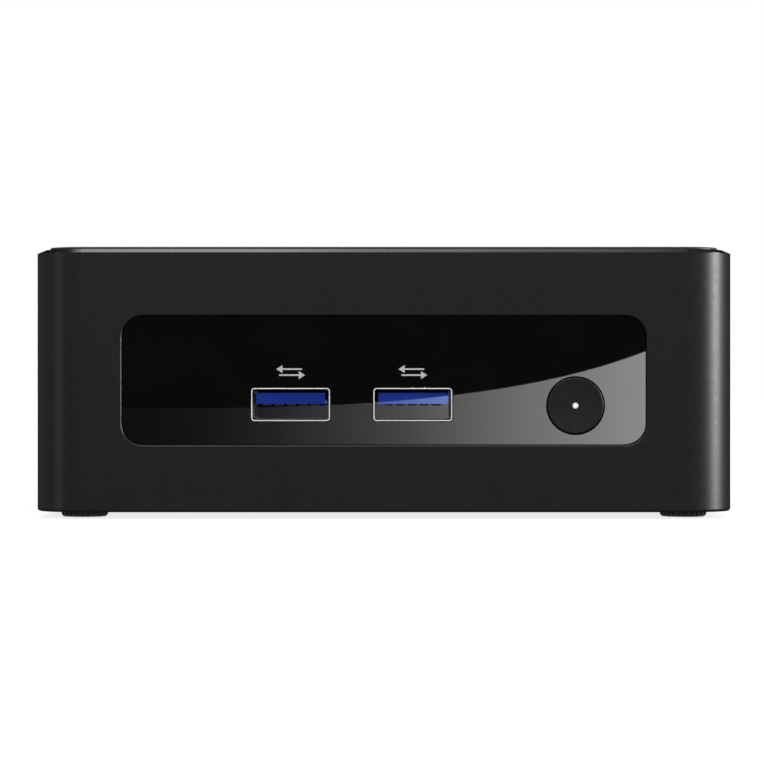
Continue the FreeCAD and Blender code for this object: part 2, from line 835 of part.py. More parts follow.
def screw(place_at, head_radius, head_height, radius, length, head_down=False):
    """A pan-head screw with a cross recess. Its place is where the head meets what it holds."""
    body = doc.addObject("PartDesign::Body", "Screw")
    if head_down:
        body.Placement = FreeCAD.Placement(Vector(), Rotation(Vector(1, 0, 0), 180))
    place(body, *place_at)
    profile = sketch_on(body, "XZ")
    rim = f"{head_radius} * {HEAD_TOP}"
    side = f"{head_height} * {HEAD_SIDE}"
    draw_outline(profile, [("0", f"-({length})"), (radius, f"-({length})"), (radius, "0"), (head_radius, "0"),
                           (head_radius, side), (rim, head_height), ("0", head_height)])
    revolve(body, profile)
    cross = sketch_on(body, "XY", head_height)
    arm, bar = f"({head_radius} * {RECESS_REACH})", f"({head_radius} * {RECESS_WIDTH})"
    draw_outline(cross, [(f"-{bar}", f"-{arm}"), (bar, f"-{arm}"), (bar, f"-{bar}"), (arm, f"-{bar}"),
                         (arm, bar), (bar, bar), (bar, arm), (f"-{bar}", arm),
                         (f"-{bar}", bar), (f"-{arm}", bar), (f"-{arm}", f"-{bar}"), (f"-{bar}", f"-{bar}")])
    pocket(body, cross, f"{head_height} * {RECESS_DEPTH}")
    return body


def cover_screws():
    places = four_corners("foot_spread_x", "foot_spread_y")
    size = "screw_head_radius", "screw_head_height", "screw_radius", "screw_length"
    group([screw((x, y, BASE_BOTTOM), *size, head_down=True) for x, y in places], "cover_screws")


# ---------------------------------------------------------------- front


def front_panel():
    """The glossy panel: a plate that fills the window, with a flange behind the wall."""
    body = new_body("front_panel")
    plate = sketch_on(body, "XZ", INNER_FRONT)
    draw_rounded(plate, "panel_width", "panel_height", "panel_corner", "0", "panel_z")
    pad(body, plate, "wall - panel_recess")
    flange = sketch_on(body, "XZ", PANEL_BACK)
    width, height = "(panel_width + 2 * panel_flange)", "(panel_height + 2 * panel_flange)"
    draw_rounded(flange, width, height, "(panel_corner + panel_flange)", "0", "panel_z")
    pad(body, flange, "flange_thickness")
    holes = sketch_on(body, "XZ", PANEL_FACE)
    width, height = "(usb_width + 2 * port_gap)", "(usb_height + 2 * port_gap)"
    for x in ("usb_left_x", "usb_right_x"):
        draw_rounded(holes, width, height, "(usb_corner + port_gap)", x, "usb_z")
    draw_circle(holes, "button_hole", "button_x", "button_z")
    pocket(body, holes, "wall + flange_thickness")


def usb_shell(name, x):
    """The folded steel shell of one front socket, open at the face and closed behind."""
    body = new_body(name, x, "0", "usb_z")
    face = f"({PANEL_FACE} + usb_proud)"
    outline = sketch_on(body, "XZ", face)
    draw_rounded(outline, "usb_width", "usb_height", "usb_corner")
    pad(body, outline, "usb_depth", backwards=True)
    mouth = sketch_on(body, "XZ", face)
    inner = "(usb_width - 2 * usb_sheet)", "(usb_height - 2 * usb_sheet)"
    draw_rounded(mouth, *inner, "(usb_corner - usb_sheet)")
    pocket(body, mouth, "usb_depth - usb_sheet")


def usb_insert(x, z, face, depth, turned=False):
    """The moulded tongue on its block, which fills the back of the shell."""
    body = doc.addObject("PartDesign::Body", "Insert")
    if turned:
        body.Placement = FreeCAD.Placement(Vector(), Rotation(Vector(0, 0, 1), 180))
    place(body, x, "0", z)
    block = sketch_on(body, "XZ", f"{face} - {depth} + usb_sheet")
    draw_rounded(block, "(usb_width - 2 * usb_sheet)", "(usb_height - 2 * usb_sheet)",
                 "(usb_corner - usb_sheet)")
    pad(body, block, "tongue_root - usb_sheet")
    tongue = sketch_on(body, "XZ", f"{face} - {depth} + tongue_root")
    draw_rectangle(tongue, "tongue_width", "tongue_thickness", "0", TONGUE_Z)
    pad(body, tongue, f"{depth} - tongue_root - tongue_setback")
    return body


def usb_contacts(x, z, face):
    """Five contact strips along the underside of a tongue."""
    strips = []
    for step in (-2, -1, 0, 1, 2):
        centre = (f"({x} + {step} * contact_pitch)", f"(tongue_setback + contact_length / 2 - {face})",
                  f"({z} + {TONGUE_Z} - tongue_thickness / 2 - contact_thickness)")
        strips.append(box(centre, ("contact_width", "contact_length", "contact_thickness")))
    return strips


def front_sockets():
    face = f"({PANEL_FACE} + usb_proud)"
    inserts, contacts = [], []
    for side in ("left", "right"):
        usb_shell(f"front_usb_{side}", f"usb_{side}_x")
        inserts.append(usb_insert(f"usb_{side}_x", "usb_z", face, "usb_depth"))
        contacts += usb_contacts(f"usb_{side}_x", "usb_z", face)
    group(inserts, "front_usb_inserts")
    group(contacts, "front_usb_contacts")


def facing_front(body):
    """Turns a body so that its own Z axis points to the front and its Y axis points up."""
    body.Placement = FreeCAD.Placement(Vector(), Rotation(Vector(1, 0, 0), 90))


def power_button():
    """The dished cap, the flange that stops it falling out and the peg that works the switch."""
    body = new_body("power_button")
    facing_front(body)
    place(body, "button_x", "0", "button_z")
    flange = sketch_on(body, "XY", f"{PANEL_BACK} - button_play - button_flange_thickness")
    draw_circle(flange, "button_flange")
    pad(body, flange, "button_flange_thickness")
    cap = sketch_on(body, "XY", f"{PANEL_BACK} - button_play")
    draw_circle(cap, "button_radius")
    pad(body, cap, BUTTON_RISE)
    dish_button(body)
    peg = sketch_on(body, "XY", f"{PANEL_BACK} - button_play - button_flange_thickness")
    draw_circle(peg, "pusher_radius", "pusher_offset")
    pad(body, peg, "pusher_length", backwards=True)
    bore = sketch_on(body, "XY", BUTTON_FACE)
    draw_circle(bore, "(guide_radius + shaft_clearance)")
    pocket(body, bore, "wall + 2 * flange_thickness + button_flange_thickness")


def dish_button(body):
    """Cuts a shallow spherical dish in the cap and rounds its rim."""
    rim = number("button_radius - button_edge")
    depth = number("button_dish")
    sphere = "(((button_radius - button_edge) ^ 2 + button_dish ^ 2) / (2 * button_dish))"
    face, radius = number(BUTTON_FACE), number(sphere)
    profile = sketch_on(body, "XZ")
    centre = Vector(0, face - depth + radius, 0)
    half = math.asin(rim / radius)
    circle = Part.Circle(centre, Vector(0, 0, 1), radius)
    arc = profile.addGeometry(Part.ArcOfCircle(circle, 1.5 * math.pi, 1.5 * math.pi + half), False)
    axis = Part.LineSegment(Vector(0, face, 0), Vector(0, face - depth, 0))
    edge = Part.LineSegment(Vector(rim, face, 0), Vector(0, face, 0))
    axis, edge = profile.addGeometry(axis, False), profile.addGeometry(edge, False)
    for first, end, second, start in ((axis, 2, arc, 1), (arc, 2, edge, 1), (edge, 2, axis, 1)):
        profile.addConstraint(Sketcher.Constraint("Coincident", first, end, second, start))
    profile.addConstraint(Sketcher.Constraint("PointOnObject", axis, 1, -2))
    profile.addConstraint(Sketcher.Constraint("PointOnObject", arc, 3, -2))
    profile.addConstraint(Sketcher.Constraint("Vertical", axis))
    profile.addConstraint(Sketcher.Constraint("Horizontal", edge))
    dimension(profile, "DistanceY", -1, 1, axis, 1, BUTTON_FACE)
    dimension(profile, "DistanceX", -1, 1, edge, 1, "button_radius - button_edge")
    dimension(profile, "Radius", arc, sphere)
    before = body.Shape.Volume
    groove = body.newObject("PartDesign::Groove", "Dish")
    groove.Profile = profile
    groove.ReferenceAxis = (profile, ["V_Axis"])
    groove.Angle = 360
    settle(groove)
    if body.Shape.Volume > before - 1e-6:
        raise RuntimeError("the dish cuts nothing")
    fillet(body, "button_rounding", lambda p: near(p.z, BUTTON_FACE)
           and near(math.hypot(p.x, p.y), "button_radius"))


def button_light_guide():
    """A clear rod through the cap, with a disc behind the flange that holds it in."""
    body = new_body("button_light_guide")
    facing_front(body)
    place(body, "button_x", "0", "button_z")
    back = f"({PANEL_BACK} - button_play - button_flange_thickness)"
    disc = sketch_on(body, "XY", back)
    draw_circle(disc, "guide_disc")
    pad(body, disc, "guide_disc_thickness", backwards=True)
    rod = sketch_on(body, "XY", back)
    draw_circle(rod, "guide_radius")
    pad(body, rod, f"{BUTTON_FACE} - button_dish - {back}")


def power_switch():
    """A side-push switch on the front edge of the board, with its own plunger."""
    body = new_body("power_switch", SWITCH_X, "-switch_y")
    case = sketch_on(body, "XY", BOARD_TOP)
    draw_rectangle(case, "switch_width", "switch_depth", "0", "(switch_depth / 2)")
    pad(body, case, "switch_height")
    bore = sketch_on(body, "XZ")
    draw_circle(bore, "(plunger_radius + shaft_clearance)", "0", "button_z")
    pocket(body, bore, "plunger_bore_depth")
    plunger = new_body("switch_plunger", SWITCH_X, "0", "button_z")
    facing_front(plunger)
    place(plunger, SWITCH_X, "0", "button_z")
    rod = sketch_on(plunger, "XY", PLUNGER_FRONT)
    draw_circle(rod, "plunger_radius")
    pad(plunger, rod, "plunger_length", backwards=True)


def power_led():
    centre = "button_x", "(led_depth / 2 - switch_y)", BOARD_TOP
    keep(box(centre, ("led_width", "led_depth", "led_height")), "power_led")


# ---------------------------------------------------------------- mainboard


def mainboard():
    """The board, with its screw holes and the row of chokes that feed the processor."""
    body = new_body("mainboard")
    outline = sketch_on(body, "XY", "board_z")
    draw_rounded(outline, "board_size", "board_size", "board_corner", "0", "board_y")
    pad(body, outline, "board_thickness")
    holes = sketch_on(body, "XY", BOARD_TOP)
    for x, y in four_corners("board_hole_x", "board_hole_y", "board_y"):
        draw_circle(holes, "board_hole_radius", x, y)
    for x, y in four_corners("plate_hole_x", "plate_hole_y", "cpu_y"):
        draw_circle(holes, "(plate_screw_radius + base_gap)", x, y)
    pocket(body, holes, "board_thickness")
    chokes = sketch_on(body, "XY", BOARD_TOP)
    for step in range(4):
        draw_rectangle(chokes, "choke_size", "choke_size", "choke_x", f"(choke_y + {step} * choke_pitch)")
    pad(body, chokes, "choke_height")


def board_screws():
    places = four_corners("board_hole_x", "board_hole_y", "board_y")
    size = "board_head_radius", "board_head_height", "board_screw_radius", "board_screw_length"
    group([screw((x, y, BOARD_TOP), *size) for x, y in places], "board_screws")


def processor():
    substrate = box(("0", "cpu_y", BOARD_TOP), ("cpu_width", "cpu_depth", "cpu_thickness"))
    die_base = f"({BOARD_TOP} + cpu_thickness)"
    die = box(("0", "cpu_y", die_base), ("die_width", "die_depth", "die_thickness"))
    keep(join([substrate, die]), "processor")


def fan_header():
    size = "fan_header_width", "fan_header_depth", "fan_header_height"
    keep(box(("fan_header_x", "0", BOARD_TOP), size), "fan_header")


# ---------------------------------------------------------------- cooler


def cold_plate():
    body = new_body("cold_plate")
    outline = sketch_on(body, "XY", PLATE_BOTTOM)
    draw_rounded(outline, "plate_width", "plate_depth", "plate_corner", "0", "cpu_y")
    pad(body, outline, "plate_thickness")
    holes = sketch_on(body, "XY", PLATE_TOP)
    for x, y in four_corners("plate_hole_x", "plate_hole_y", "cpu_y"):
        draw_circle(holes, "(plate_screw_radius + base_gap)", x, y)
    pocket(body, holes, "plate_thickness")


def cooler_screws():
    places = four_corners("plate_hole_x", "plate_hole_y", "cpu_y")
    size = "plate_head_radius", "plate_head_height", "plate_screw_radius", f"{PLATE_TOP} - board_z"
    group([screw((x, y, PLATE_TOP), *size) for x, y in places], "cooler_screws")


def heat_pipe(x):
    """A flattened pipe that runs along the cold plate, rises in an S-bend and meets the fins."""
    body = doc.addObject("PartDesign::Body", "HeatPipe")
    place(body, x, "0", f"{PLATE_TOP} + pipe_thickness / 2")
    bend, rise = number("pipe_bend"), number("pipe_rise")
    start, turn, end = (number(f"pipe_{point}_y") for point in ("start", "bend", "end"))
    angle = math.acos(1 - rise / (2 * bend))
    lower, upper = Vector(turn, bend, 0), Vector(turn + 2 * bend * math.sin(angle), rise - bend, 0)
    route = sketch_on(body, "YZ")
    first = Part.ArcOfCircle(Part.Circle(lower, Vector(0, 0, 1), bend), 1.5 * math.pi, 1.5 * math.pi + angle)
    second = Part.ArcOfCircle(Part.Circle(upper, Vector(0, 0, 1), bend), math.pi / 2, math.pi / 2 + angle)
    run = route.addGeometry(Part.LineSegment(Vector(start, 0, 0), Vector(turn, 0, 0)), False)
    up, over = route.addGeometry(first, False), route.addGeometry(second, False)
    top = route.addGeometry(Part.LineSegment(Vector(upper.x, rise, 0), Vector(end, rise, 0)), False)
    route.addConstraint(Sketcher.Constraint("Tangent", run, 2, up, 1))
    route.addConstraint(Sketcher.Constraint("Tangent", up, 2, over, 2))
    route.addConstraint(Sketcher.Constraint("Tangent", over, 1, top, 1))
    route.addConstraint(Sketcher.Constraint("Horizontal", run))
    route.addConstraint(Sketcher.Constraint("Horizontal", top))
    route.addConstraint(Sketcher.Constraint("Equal", up, over))
    route.addConstraint(Sketcher.Constraint("PointOnObject", run, 1, -1))
    dimension(route, "Radius", up, "pipe_bend")
    dimension(route, "DistanceX", -1, 1, run, 1, "pipe_start_y")
    dimension(route, "DistanceX", -1, 1, run, 2, "pipe_bend_y")
    dimension(route, "DistanceX", -1, 1, top, 2, "pipe_end_y")
    dimension(route, "DistanceY", -1, 1, top, 2, "pipe_rise")
    section = sketch_on(body, "XZ", "-pipe_start_y")
    draw_rounded(section, "pipe_width", "pipe_thickness", f"(pipe_thickness * {SLOT_END})")
    pipe = body.newObject("PartDesign::AdditivePipe", "Pipe")
    pipe.Profile = section
    pipe.Spine = route
    settle(pipe)
    return body


def heat_pipes():
    group([heat_pipe("-pipe_spread / 2"), heat_pipe("pipe_spread / 2")], "heat_pipes")


def fin_stack():
    """Thin upright fins on a base plate that lies on the heat pipes."""
    body = new_body("fin_stack")
    base = sketch_on(body, "XY", FIN_BOTTOM)
    draw_rectangle(base, "fin_width", "fin_depth", "0", "fin_y")
    pad(body, base, "fin_base")
    fin = sketch_on(body, "XY", FIN_BOTTOM)
    draw_rectangle(fin, "fin_thickness", "fin_depth", "(fin_thickness / 2 - fin_width / 2)", "fin_y")
    first = pad(body, fin, "fin_height")
    repeat_along(body, first, "X", "fin_width - fin_thickness", FINS)


def blower_outline(sketch, radius, front_y, rear_y):
    """A half circle at the front with straight sides that run back to rear_y."""
    centre_y, r, rear = number(front_y), number(radius), number(rear_y)
    circle = Part.Circle(Vector(0, centre_y, 0), Vector(0, 0, 1), r)
    arc = sketch.addGeometry(Part.ArcOfCircle(circle, math.pi, 2 * math.pi), False)
    right = sketch.addGeometry(Part.LineSegment(Vector(r, centre_y, 0), Vector(r, rear, 0)), False)
    back = sketch.addGeometry(Part.LineSegment(Vector(r, rear, 0), Vector(-r, rear, 0)), False)
    left = sketch.addGeometry(Part.LineSegment(Vector(-r, rear, 0), Vector(-r, centre_y, 0)), False)
    sketch.addConstraint(Sketcher.Constraint("Tangent", arc, 2, right, 1))
    sketch.addConstraint(Sketcher.Constraint("Coincident", right, 2, back, 1))
    sketch.addConstraint(Sketcher.Constraint("Coincident", back, 2, left, 1))
    sketch.addConstraint(Sketcher.Constraint("Tangent", left, 2, arc, 1))
    sketch.addConstraint(Sketcher.Constraint("Horizontal", back))
    sketch.addConstraint(Sketcher.Constraint("PointOnObject", arc, 3, -2))
    dimension(sketch, "Radius", arc, radius)
    dimension(sketch, "DistanceY", -1, 1, arc, 3, front_y)
    dimension(sketch, "DistanceY", -1, 1, right, 2, rear_y)


def ear_places():
    """Two ears on the diagonals of the round end and one on each straight side."""
    diagonal = "post_reach * sin(45)"
    front_y = f"(blower_y - {diagonal})"
    return [(f"(-{diagonal})", front_y), (f"({diagonal})", front_y),
            ("(-post_reach)", "post_rear_y"), ("(post_reach)", "post_rear_y")]


def blower_housing():
    """Floor and side wall of the blower, with four screw ears; the rear end is its outlet."""
    body = new_body("blower_housing")
    floor = sketch_on(body, "XY", "blower_z")
    blower_outline(floor, "blower_radius", "blower_y", "blower_outlet_y")
    pad(body, floor, "blower_height - blower_lid")
    ears = sketch_on(body, "XY", "blower_z")
    for x, y in ear_places():
        draw_circle(ears, "ear_radius", x, y)
    pad(body, ears, "ear_thickness")
    holes = sketch_on(body, "XY", "blower_z")
    for x, y in ear_places():
        draw_circle(holes, "(plate_screw_radius + base_gap)", x, y)
    pocket(body, holes, "blower_height", backwards=True)
    scroll = sketch_on(body, "XY", f"{BLOWER_TOP} - blower_lid")
    blower_outline(scroll, "(blower_radius - blower_wall)", "blower_y", "(blower_outlet_y + blower_wall)")
    pocket(body, scroll, "blower_height - blower_lid - blower_floor")


def blower_cover():
    body = new_body("blower_cover")
    plate = sketch_on(body, "XY", f"{BLOWER_TOP} - blower_lid")
    blower_outline(plate, "blower_radius", "blower_y", "blower_outlet_y")
    pad(body, plate, "blower_lid")
    intake = sketch_on(body, "XY", BLOWER_TOP)
    draw_circle(intake, "intake_radius", "0", "blower_y")
    pocket(body, intake, "blower_lid")


def blower_rotor():
    """The impeller: a hub cup, a web and backward-leaning blades. Its own Z axis is its shaft."""
    body = new_body("blower_rotor", "0", "blower_y")
    web = sketch_on(body, "XY", "rotor_z")
    draw_circle(web, "rotor_radius")
    pad(body, web, "rotor_web")
    hub = sketch_on(body, "XY", "rotor_z")
    draw_circle(hub, "hub_radius")
    pad(body, hub, "rotor_height")
    blade = sketch_on(body, "XY", "rotor_z + rotor_web / 2")
    half = "(blade_thickness / 2)"
    draw_outline(blade, [("blade_root", f"-{half}"), ("blade_tip", f"(blade_slant - {half})"),
                         ("blade_tip", f"(blade_slant + {half})"), ("blade_root", half)])
    first = pad(body, blade, "rotor_height - rotor_web / 2")
    repeat_round(body, first, BLADES)
    cup = sketch_on(body, "XY", "rotor_z")
    draw_circle(cup, "(hub_radius - hub_wall)")
    pocket(body, cup, "rotor_height - hub_wall", backwards=True)


def motor():
    """The magnet ring and shaft, which turn, and the bearing and stator, which don't."""
    magnet = new_body("rotor_magnet", "0", "blower_y")
    ring = sketch_on(magnet, "XY", "rotor_z + rotor_web")
    draw_circle(ring, "(hub_radius - hub_wall)")
    draw_circle(ring, "(stator_radius + stator_gap)")
    pad(magnet, ring, "rotor_height - hub_wall - 2 * rotor_web")
    shaft = new_body("rotor_shaft", "0", "blower_y")
    rod = sketch_on(shaft, "XY", "rotor_z - rotor_web / 4")
    draw_circle(rod, "shaft_radius")
    pad(shaft, rod, "rotor_height - hub_wall + rotor_web / 4")
    bearing = new_body("fan_bearing", "0", "blower_y")
    tube = sketch_on(bearing, "XY", "blower_z + blower_floor")
    draw_circle(tube, "bearing_radius")
    pad(bearing, tube, BEARING_HEIGHT)
    bore = sketch_on(bearing, "XY", f"blower_z + blower_floor + {BEARING_HEIGHT}")
    draw_circle(bore, "(shaft_radius + shaft_clearance)")
    pocket(bearing, bore, f"{BEARING_HEIGHT} - rotor_web / 2")
    stator = new_body("fan_stator", "0", "blower_y")
    core = sketch_on(stator, "XY", "rotor_z + rotor_web")
    draw_circle(core, "stator_radius")
    draw_circle(core, "bearing_radius")
    pad(stator, core, "rotor_height - hub_wall - 3 * rotor_web")
    slot = sketch_on(stator, "XY", "rotor_z + rotor_web")
    draw_rectangle(slot, "stator_slot_length", "stator_slot_width", "stator_slot_x")
    first = pocket(stator, slot, "rotor_height", backwards=True)
    repeat_round(stator, first, STATOR_SLOTS)


def blower_posts():
    """Four posts from the mainboard to the blower's ears."""
    posts = [cylinder((x, y, BOARD_TOP), "post_radius", f"blower_z - {BOARD_TOP}") for x, y in ear_places()]
    bores = [cylinder((x, y, "blower_z - post_bore_depth"), "post_bore_radius", "post_bore_depth")
             for x, y in ear_places()]
    group([cut(post, bore) for post, bore in zip(posts, bores)], "blower_posts")


def blower_screws():
    size = "plate_head_radius", "plate_head_height", "blower_screw_radius", "blower_screw_length"
    screws = [screw((x, y, "(blower_z + ear_thickness)"), *size) for x, y in ear_places()]
    group(screws, "blower_screws")


# ---------------------------------------------------------------- cards under the board


def memory_socket():
    """A two-deck socket under the board, with an arm along each side of the modules."""
    body = new_body("memory_socket")
    bar = sketch_on(body, "XY", "board_z")
    draw_rectangle(bar, "socket_width", "socket_depth", "0", MEMORY_SOCKET_Y)
    pad(body, bar, "socket_height", backwards=True)
    arms = sketch_on(body, "XY", "board_z")
    for side in (-1, 1):
        draw_rectangle(arms, "socket_arm", "socket_arm_length", f"({side} * (socket_width - socket_arm) / 2)",
                       f"({MEMORY_SOCKET_Y} - socket_arm_length / 2)")
    pad(body, arms, "socket_height", backwards=True)
    slots = sketch_on(body, "XZ", f"(socket_depth / 2 - {MEMORY_SOCKET_Y})")
    for deck in ("memory_upper_z", "memory_lower_z"):
        draw_rectangle(slots, "(memory_width + 2 * port_gap)", "(memory_thickness + port_gap)", "0",
                       f"({deck} + memory_thickness / 2)")
    pocket(body, slots, "memory_insertion + port_gap")


def memory_module(name, level):
    """A memory module: a small board with chips on both faces and a key notch."""
    body = new_body(name, "0", "memory_front_y", level)
    board = sketch_on(body, "XY")
    draw_rectangle(board, "memory_width", "memory_depth", "0", "(memory_depth / 2)")
    pad(body, board, "memory_thickness")
    chips = sketch_on(body, "XY", "-chip_thickness")
    for step in (-1.5, -0.5, 0.5, 1.5):
        draw_rectangle(chips, "memory_chip_width", "memory_chip_depth", f"({step} * memory_chip_pitch)",
                       "memory_chip_y")
    pad(body, chips, "memory_thickness + 2 * chip_thickness")
    notch = sketch_on(body, "XY", "memory_thickness")
    draw_rectangle(notch, "memory_notch_width", "(2 * memory_notch_depth)", "memory_notch_x", "memory_depth")
    pocket(body, notch, "memory_thickness")


def memory():
    memory_socket()
    memory_module("memory_module_upper", "memory_upper_z")
    memory_module("memory_module_lower", "memory_lower_z")


def card_socket(x, y):
    """A narrow socket under the board that holds one end of a card."""
    block = box((f"({x} - card_socket_depth / 2)", y, "(board_z - card_socket_height)"),
                ("card_socket_depth", "card_width", "card_socket_height"))
    size = "(card_insertion + port_gap)", "(card_width - card_insertion)", "(card_thickness + port_gap)"
    slot = box((f"({x} - card_insertion / 2)", y, "(card_z - port_gap / 2)"), size)
    return cut(block, slot)


def card(name, x, y, length, chips):
    """A card that runs in +X from its socket, with its chips on the lower face."""
    body = new_body(name, f"{x} - card_insertion", y, "card_z")
    tongue = sketch_on(body, "XY")
    draw_rectangle(tongue, "(2 * card_insertion)", "(card_width - 2 * card_insertion)", "card_insertion")
    pad(body, tongue, "card_thickness")
    board = sketch_on(body, "XY")
    draw_rectangle(board, f"({length} - card_insertion)", "card_width",
                   f"(card_insertion + port_gap + ({length} - card_insertion) / 2)")
    pad(body, board, "card_thickness")
    parts = sketch_on(body, "XY")
    for centre, width in chips:
        draw_rectangle(parts, width, "card_chip_depth", f"({centre} * {length})")
    pad(body, parts, "chip_thickness", backwards=True)
    end = sketch_on(body, "XY", "card_thickness")
    draw_circle(end, "card_end_radius", length)
    pocket(body, end, "card_thickness")


def cards():
    group([card_socket("drive_x", "drive_y"), card_socket("radio_x", "radio_y")], "card_sockets")
    card("ssd_card", "drive_x", "drive_y", "drive_length", DRIVE_CHIPS)
    card("wifi_card", "radio_x", "radio_y", "radio_length", RADIO_CHIPS)
    posts, screws = [], []
    for x, y, length in (("drive_x", "drive_y", "drive_length"), ("radio_x", "radio_y", "radio_length")):
        end = f"({x} - card_insertion + {length})"
        top = "(card_z + card_thickness)"
        post = cylinder((end, y, top), "card_post_radius", f"board_z - {top}")
        bore = cylinder((end, y, top), "card_bore_radius", f"board_z - {top}")
        posts.append(cut(post, bore))
        size = "card_head_radius", "card_head_height", "card_screw_radius", "card_screw_length"
        screws.append(screw((end, y, "card_z"), *size, head_down=True))
    group(posts, "card_posts")
    group(screws, "card_screws")


def coin_cell():
    """The clock battery in an open holder under the board."""
    low = "cell_x", "cell_y", "(board_z - cell_thickness - holder_floor)"
    ring = cylinder(low, "(cell_radius + holder_wall)", "cell_thickness + holder_floor")
    well = cylinder(low, "(cell_radius + port_gap)", "cell_thickness")
    keep(cut(ring, well), "cell_holder")
    cell = new_body("coin_cell", *low)
    can = sketch_on(cell, "XY", "cell_cap_thickness")
    draw_circle(can, "cell_radius")
    pad(cell, can, "cell_thickness - cell_cap_thickness")
    cap = sketch_on(cell, "XY", "cell_cap_thickness")
    draw_circle(cap, "cell_cap_radius")
    pad(cell, cap, "cell_cap_thickness", backwards=True)


# ---------------------------------------------------------------- antennas and leads


def tube(points, radius):
    """A round lead along straight runs joined by tangent arcs as large as the runs allow."""
    corners = [Vector(*(number(value) for value in point)) for point in points]
    edges = []
    start = corners[0]
    for before, corner, after in zip(corners, corners[1:], corners[2:]):
        back, ahead = before - corner, after - corner
        reach = BEND_REACH * min(back.Length, ahead.Length)
        entry = corner + back.normalize() * reach
        leave = corner + ahead.normalize() * reach
        half_turn = (math.pi - back.getAngle(ahead)) / 2
        bend = reach / math.tan(half_turn)
        to_middle = (back + ahead).normalize()
        middle = corner + to_middle * (bend / math.cos(half_turn) - bend)
        edges.append(Part.LineSegment(start, entry).toShape())
        edges.append(Part.Arc(entry, middle, leave).toShape())
        start = leave
    edges.append(Part.LineSegment(start, corners[-1]).toShape())
    path = Part.Wire(edges)
    direction = corners[1] - corners[0]
    ring = Part.Wire(Part.Circle(corners[0], direction, number(radius)).toShape())
    item = doc.addObject("Part::Feature", "Lead")
    item.Shape = path.makePipeShell([ring], True, False)
    return item


def antennas():
    """Two film antennas on the underside of the top cover."""
    films = []
    for side in (-1, 1):
        centre = f"({side} * antenna_x)", "antenna_y", f"({LID_SEAT} - antenna_thickness)"
        films.append(box(centre, ("antenna_width", "antenna_length", "antenna_thickness")))
    group(films, "antennas")


def leads():
    """Coaxial leads from the radio card up both sides of the board, and the blower's own lead."""
    pair = []
    for side, run in ((-1, RADIO_LEAD_LEFT), (1, RADIO_LEAD_RIGHT)):
        start = [(x, y, "coax_low_z") for x, y in run]
        start[0] = (*run[0], "(card_z - coax_drop)")
        edge, rise = f"({side} * coax_edge)", f"({side} * (coax_edge + coax_lean))"
        climb = [(edge, "26", "(coax_low_z + 1)"), (rise, "25.6", "(coax_low_z + 17)"),
                 (edge, "25", f"({UNDER_LID} - 3)"), (f"({side} * antenna_x)", "antenna_y", UNDER_LID)]
        pair.append(tube(start + climb, "coax_radius"))
    group(pair, "antenna_leads")
    keep(tube(FAN_LEAD, "fan_lead_radius"), "fan_lead")


# ---------------------------------------------------------------- rear


def rear_plate(name, cut_low, cut_high):
    """A flanged plate that fills the rear window, less what lies between two heights."""
    body = new_body(name)
    plate = sketch_on(body, "XZ", f"(-{REAR_FACE})")
    width, height = "(rear_width - 2 * panel_gap)", "(rear_height - 2 * panel_gap)"
    draw_rounded(plate, width, height, "rear_corner", "0", "rear_z")
    pad(body, plate, "wall - rear_recess")
    flange = sketch_on(body, "XZ", "(-(body_depth / 2 - wall))")
    width, height = "(rear_width + 2 * rear_flange)", "(rear_height + 2 * rear_flange_rise)"
    draw_rounded(flange, width, height, "rear_corner", "0", "rear_z")
    pad(body, flange, "rear_flange_thickness")
    rest = sketch_on(body, "XZ", f"(-{REAR_FACE})")
    draw_rectangle(rest, "body_width", f"({cut_high} - {cut_low})", "0", f"(({cut_high} + {cut_low}) / 2)")
    pocket(body, rest, "wall + rear_flange_thickness", backwards=True)
    return body


def rear_panel():
    """The plate round the rear sockets."""
    body = rear_plate("rear_panel", "rear_split_z", "total_height")
    holes = sketch_on(body, "XZ", f"(-{REAR_FACE})")
    for port in ("stack", "lan", "hdmi_left", "hdmi_right", "dc"):
        kind = port.split("_")[0]
        width = "usb_width" if port == "stack" else f"{kind}_width"
        middle = f"({BOARD_TOP} + usb_proud + {kind}_height / 2)"
        draw_rounded(holes, f"({width} + 2 * port_gap)", f"({kind}_height + 2 * port_gap)", "usb_corner",
                     f"{port}_x", middle)
    draw_circle(holes, "(audio_ring + port_gap)", "audio_x", AUDIO_Z)
    pocket(body, holes, "wall + rear_flange_thickness", backwards=True)


def rear_grille():
    """The exhaust grille above the rear sockets."""
    body = rear_plate("rear_grille", "0", "(rear_split_z + panel_gap)")
    slot = sketch_on(body, "XZ", f"(-{REAR_FACE})")
    draw_rounded(slot, "rear_slot_width", "rear_slot_height", f"(rear_slot_width * {SLOT_END})",
                 "(-rear_slot_run / 2)", "rear_slot_z")
    vent = pocket(body, slot, "wall + rear_flange_thickness", backwards=True)
    repeat_along(body, vent, "X", "rear_slot_run", REAR_SLOTS)


def rear_block(name, x, width, height, depth):
    """A socket's outer block, standing on the board with its face at the rear panel."""
    body = new_body(name, x, "0", f"({BOARD_TOP} + usb_proud)")
    outline = sketch_on(body, "XZ", f"(-{REAR_OUT})")
    draw_rounded(outline, width, height, "usb_corner", "0", f"({height} / 2)")
    pad(body, outline, depth)
    return body


def rear_mouth(body, draw, depth):
    """Cuts an opening, drawn by draw, into a rear socket from its face."""
    sketch = sketch_on(body, "XZ", f"(-{REAR_OUT})")
    draw(sketch)
    return pocket(body, sketch, depth, backwards=True)


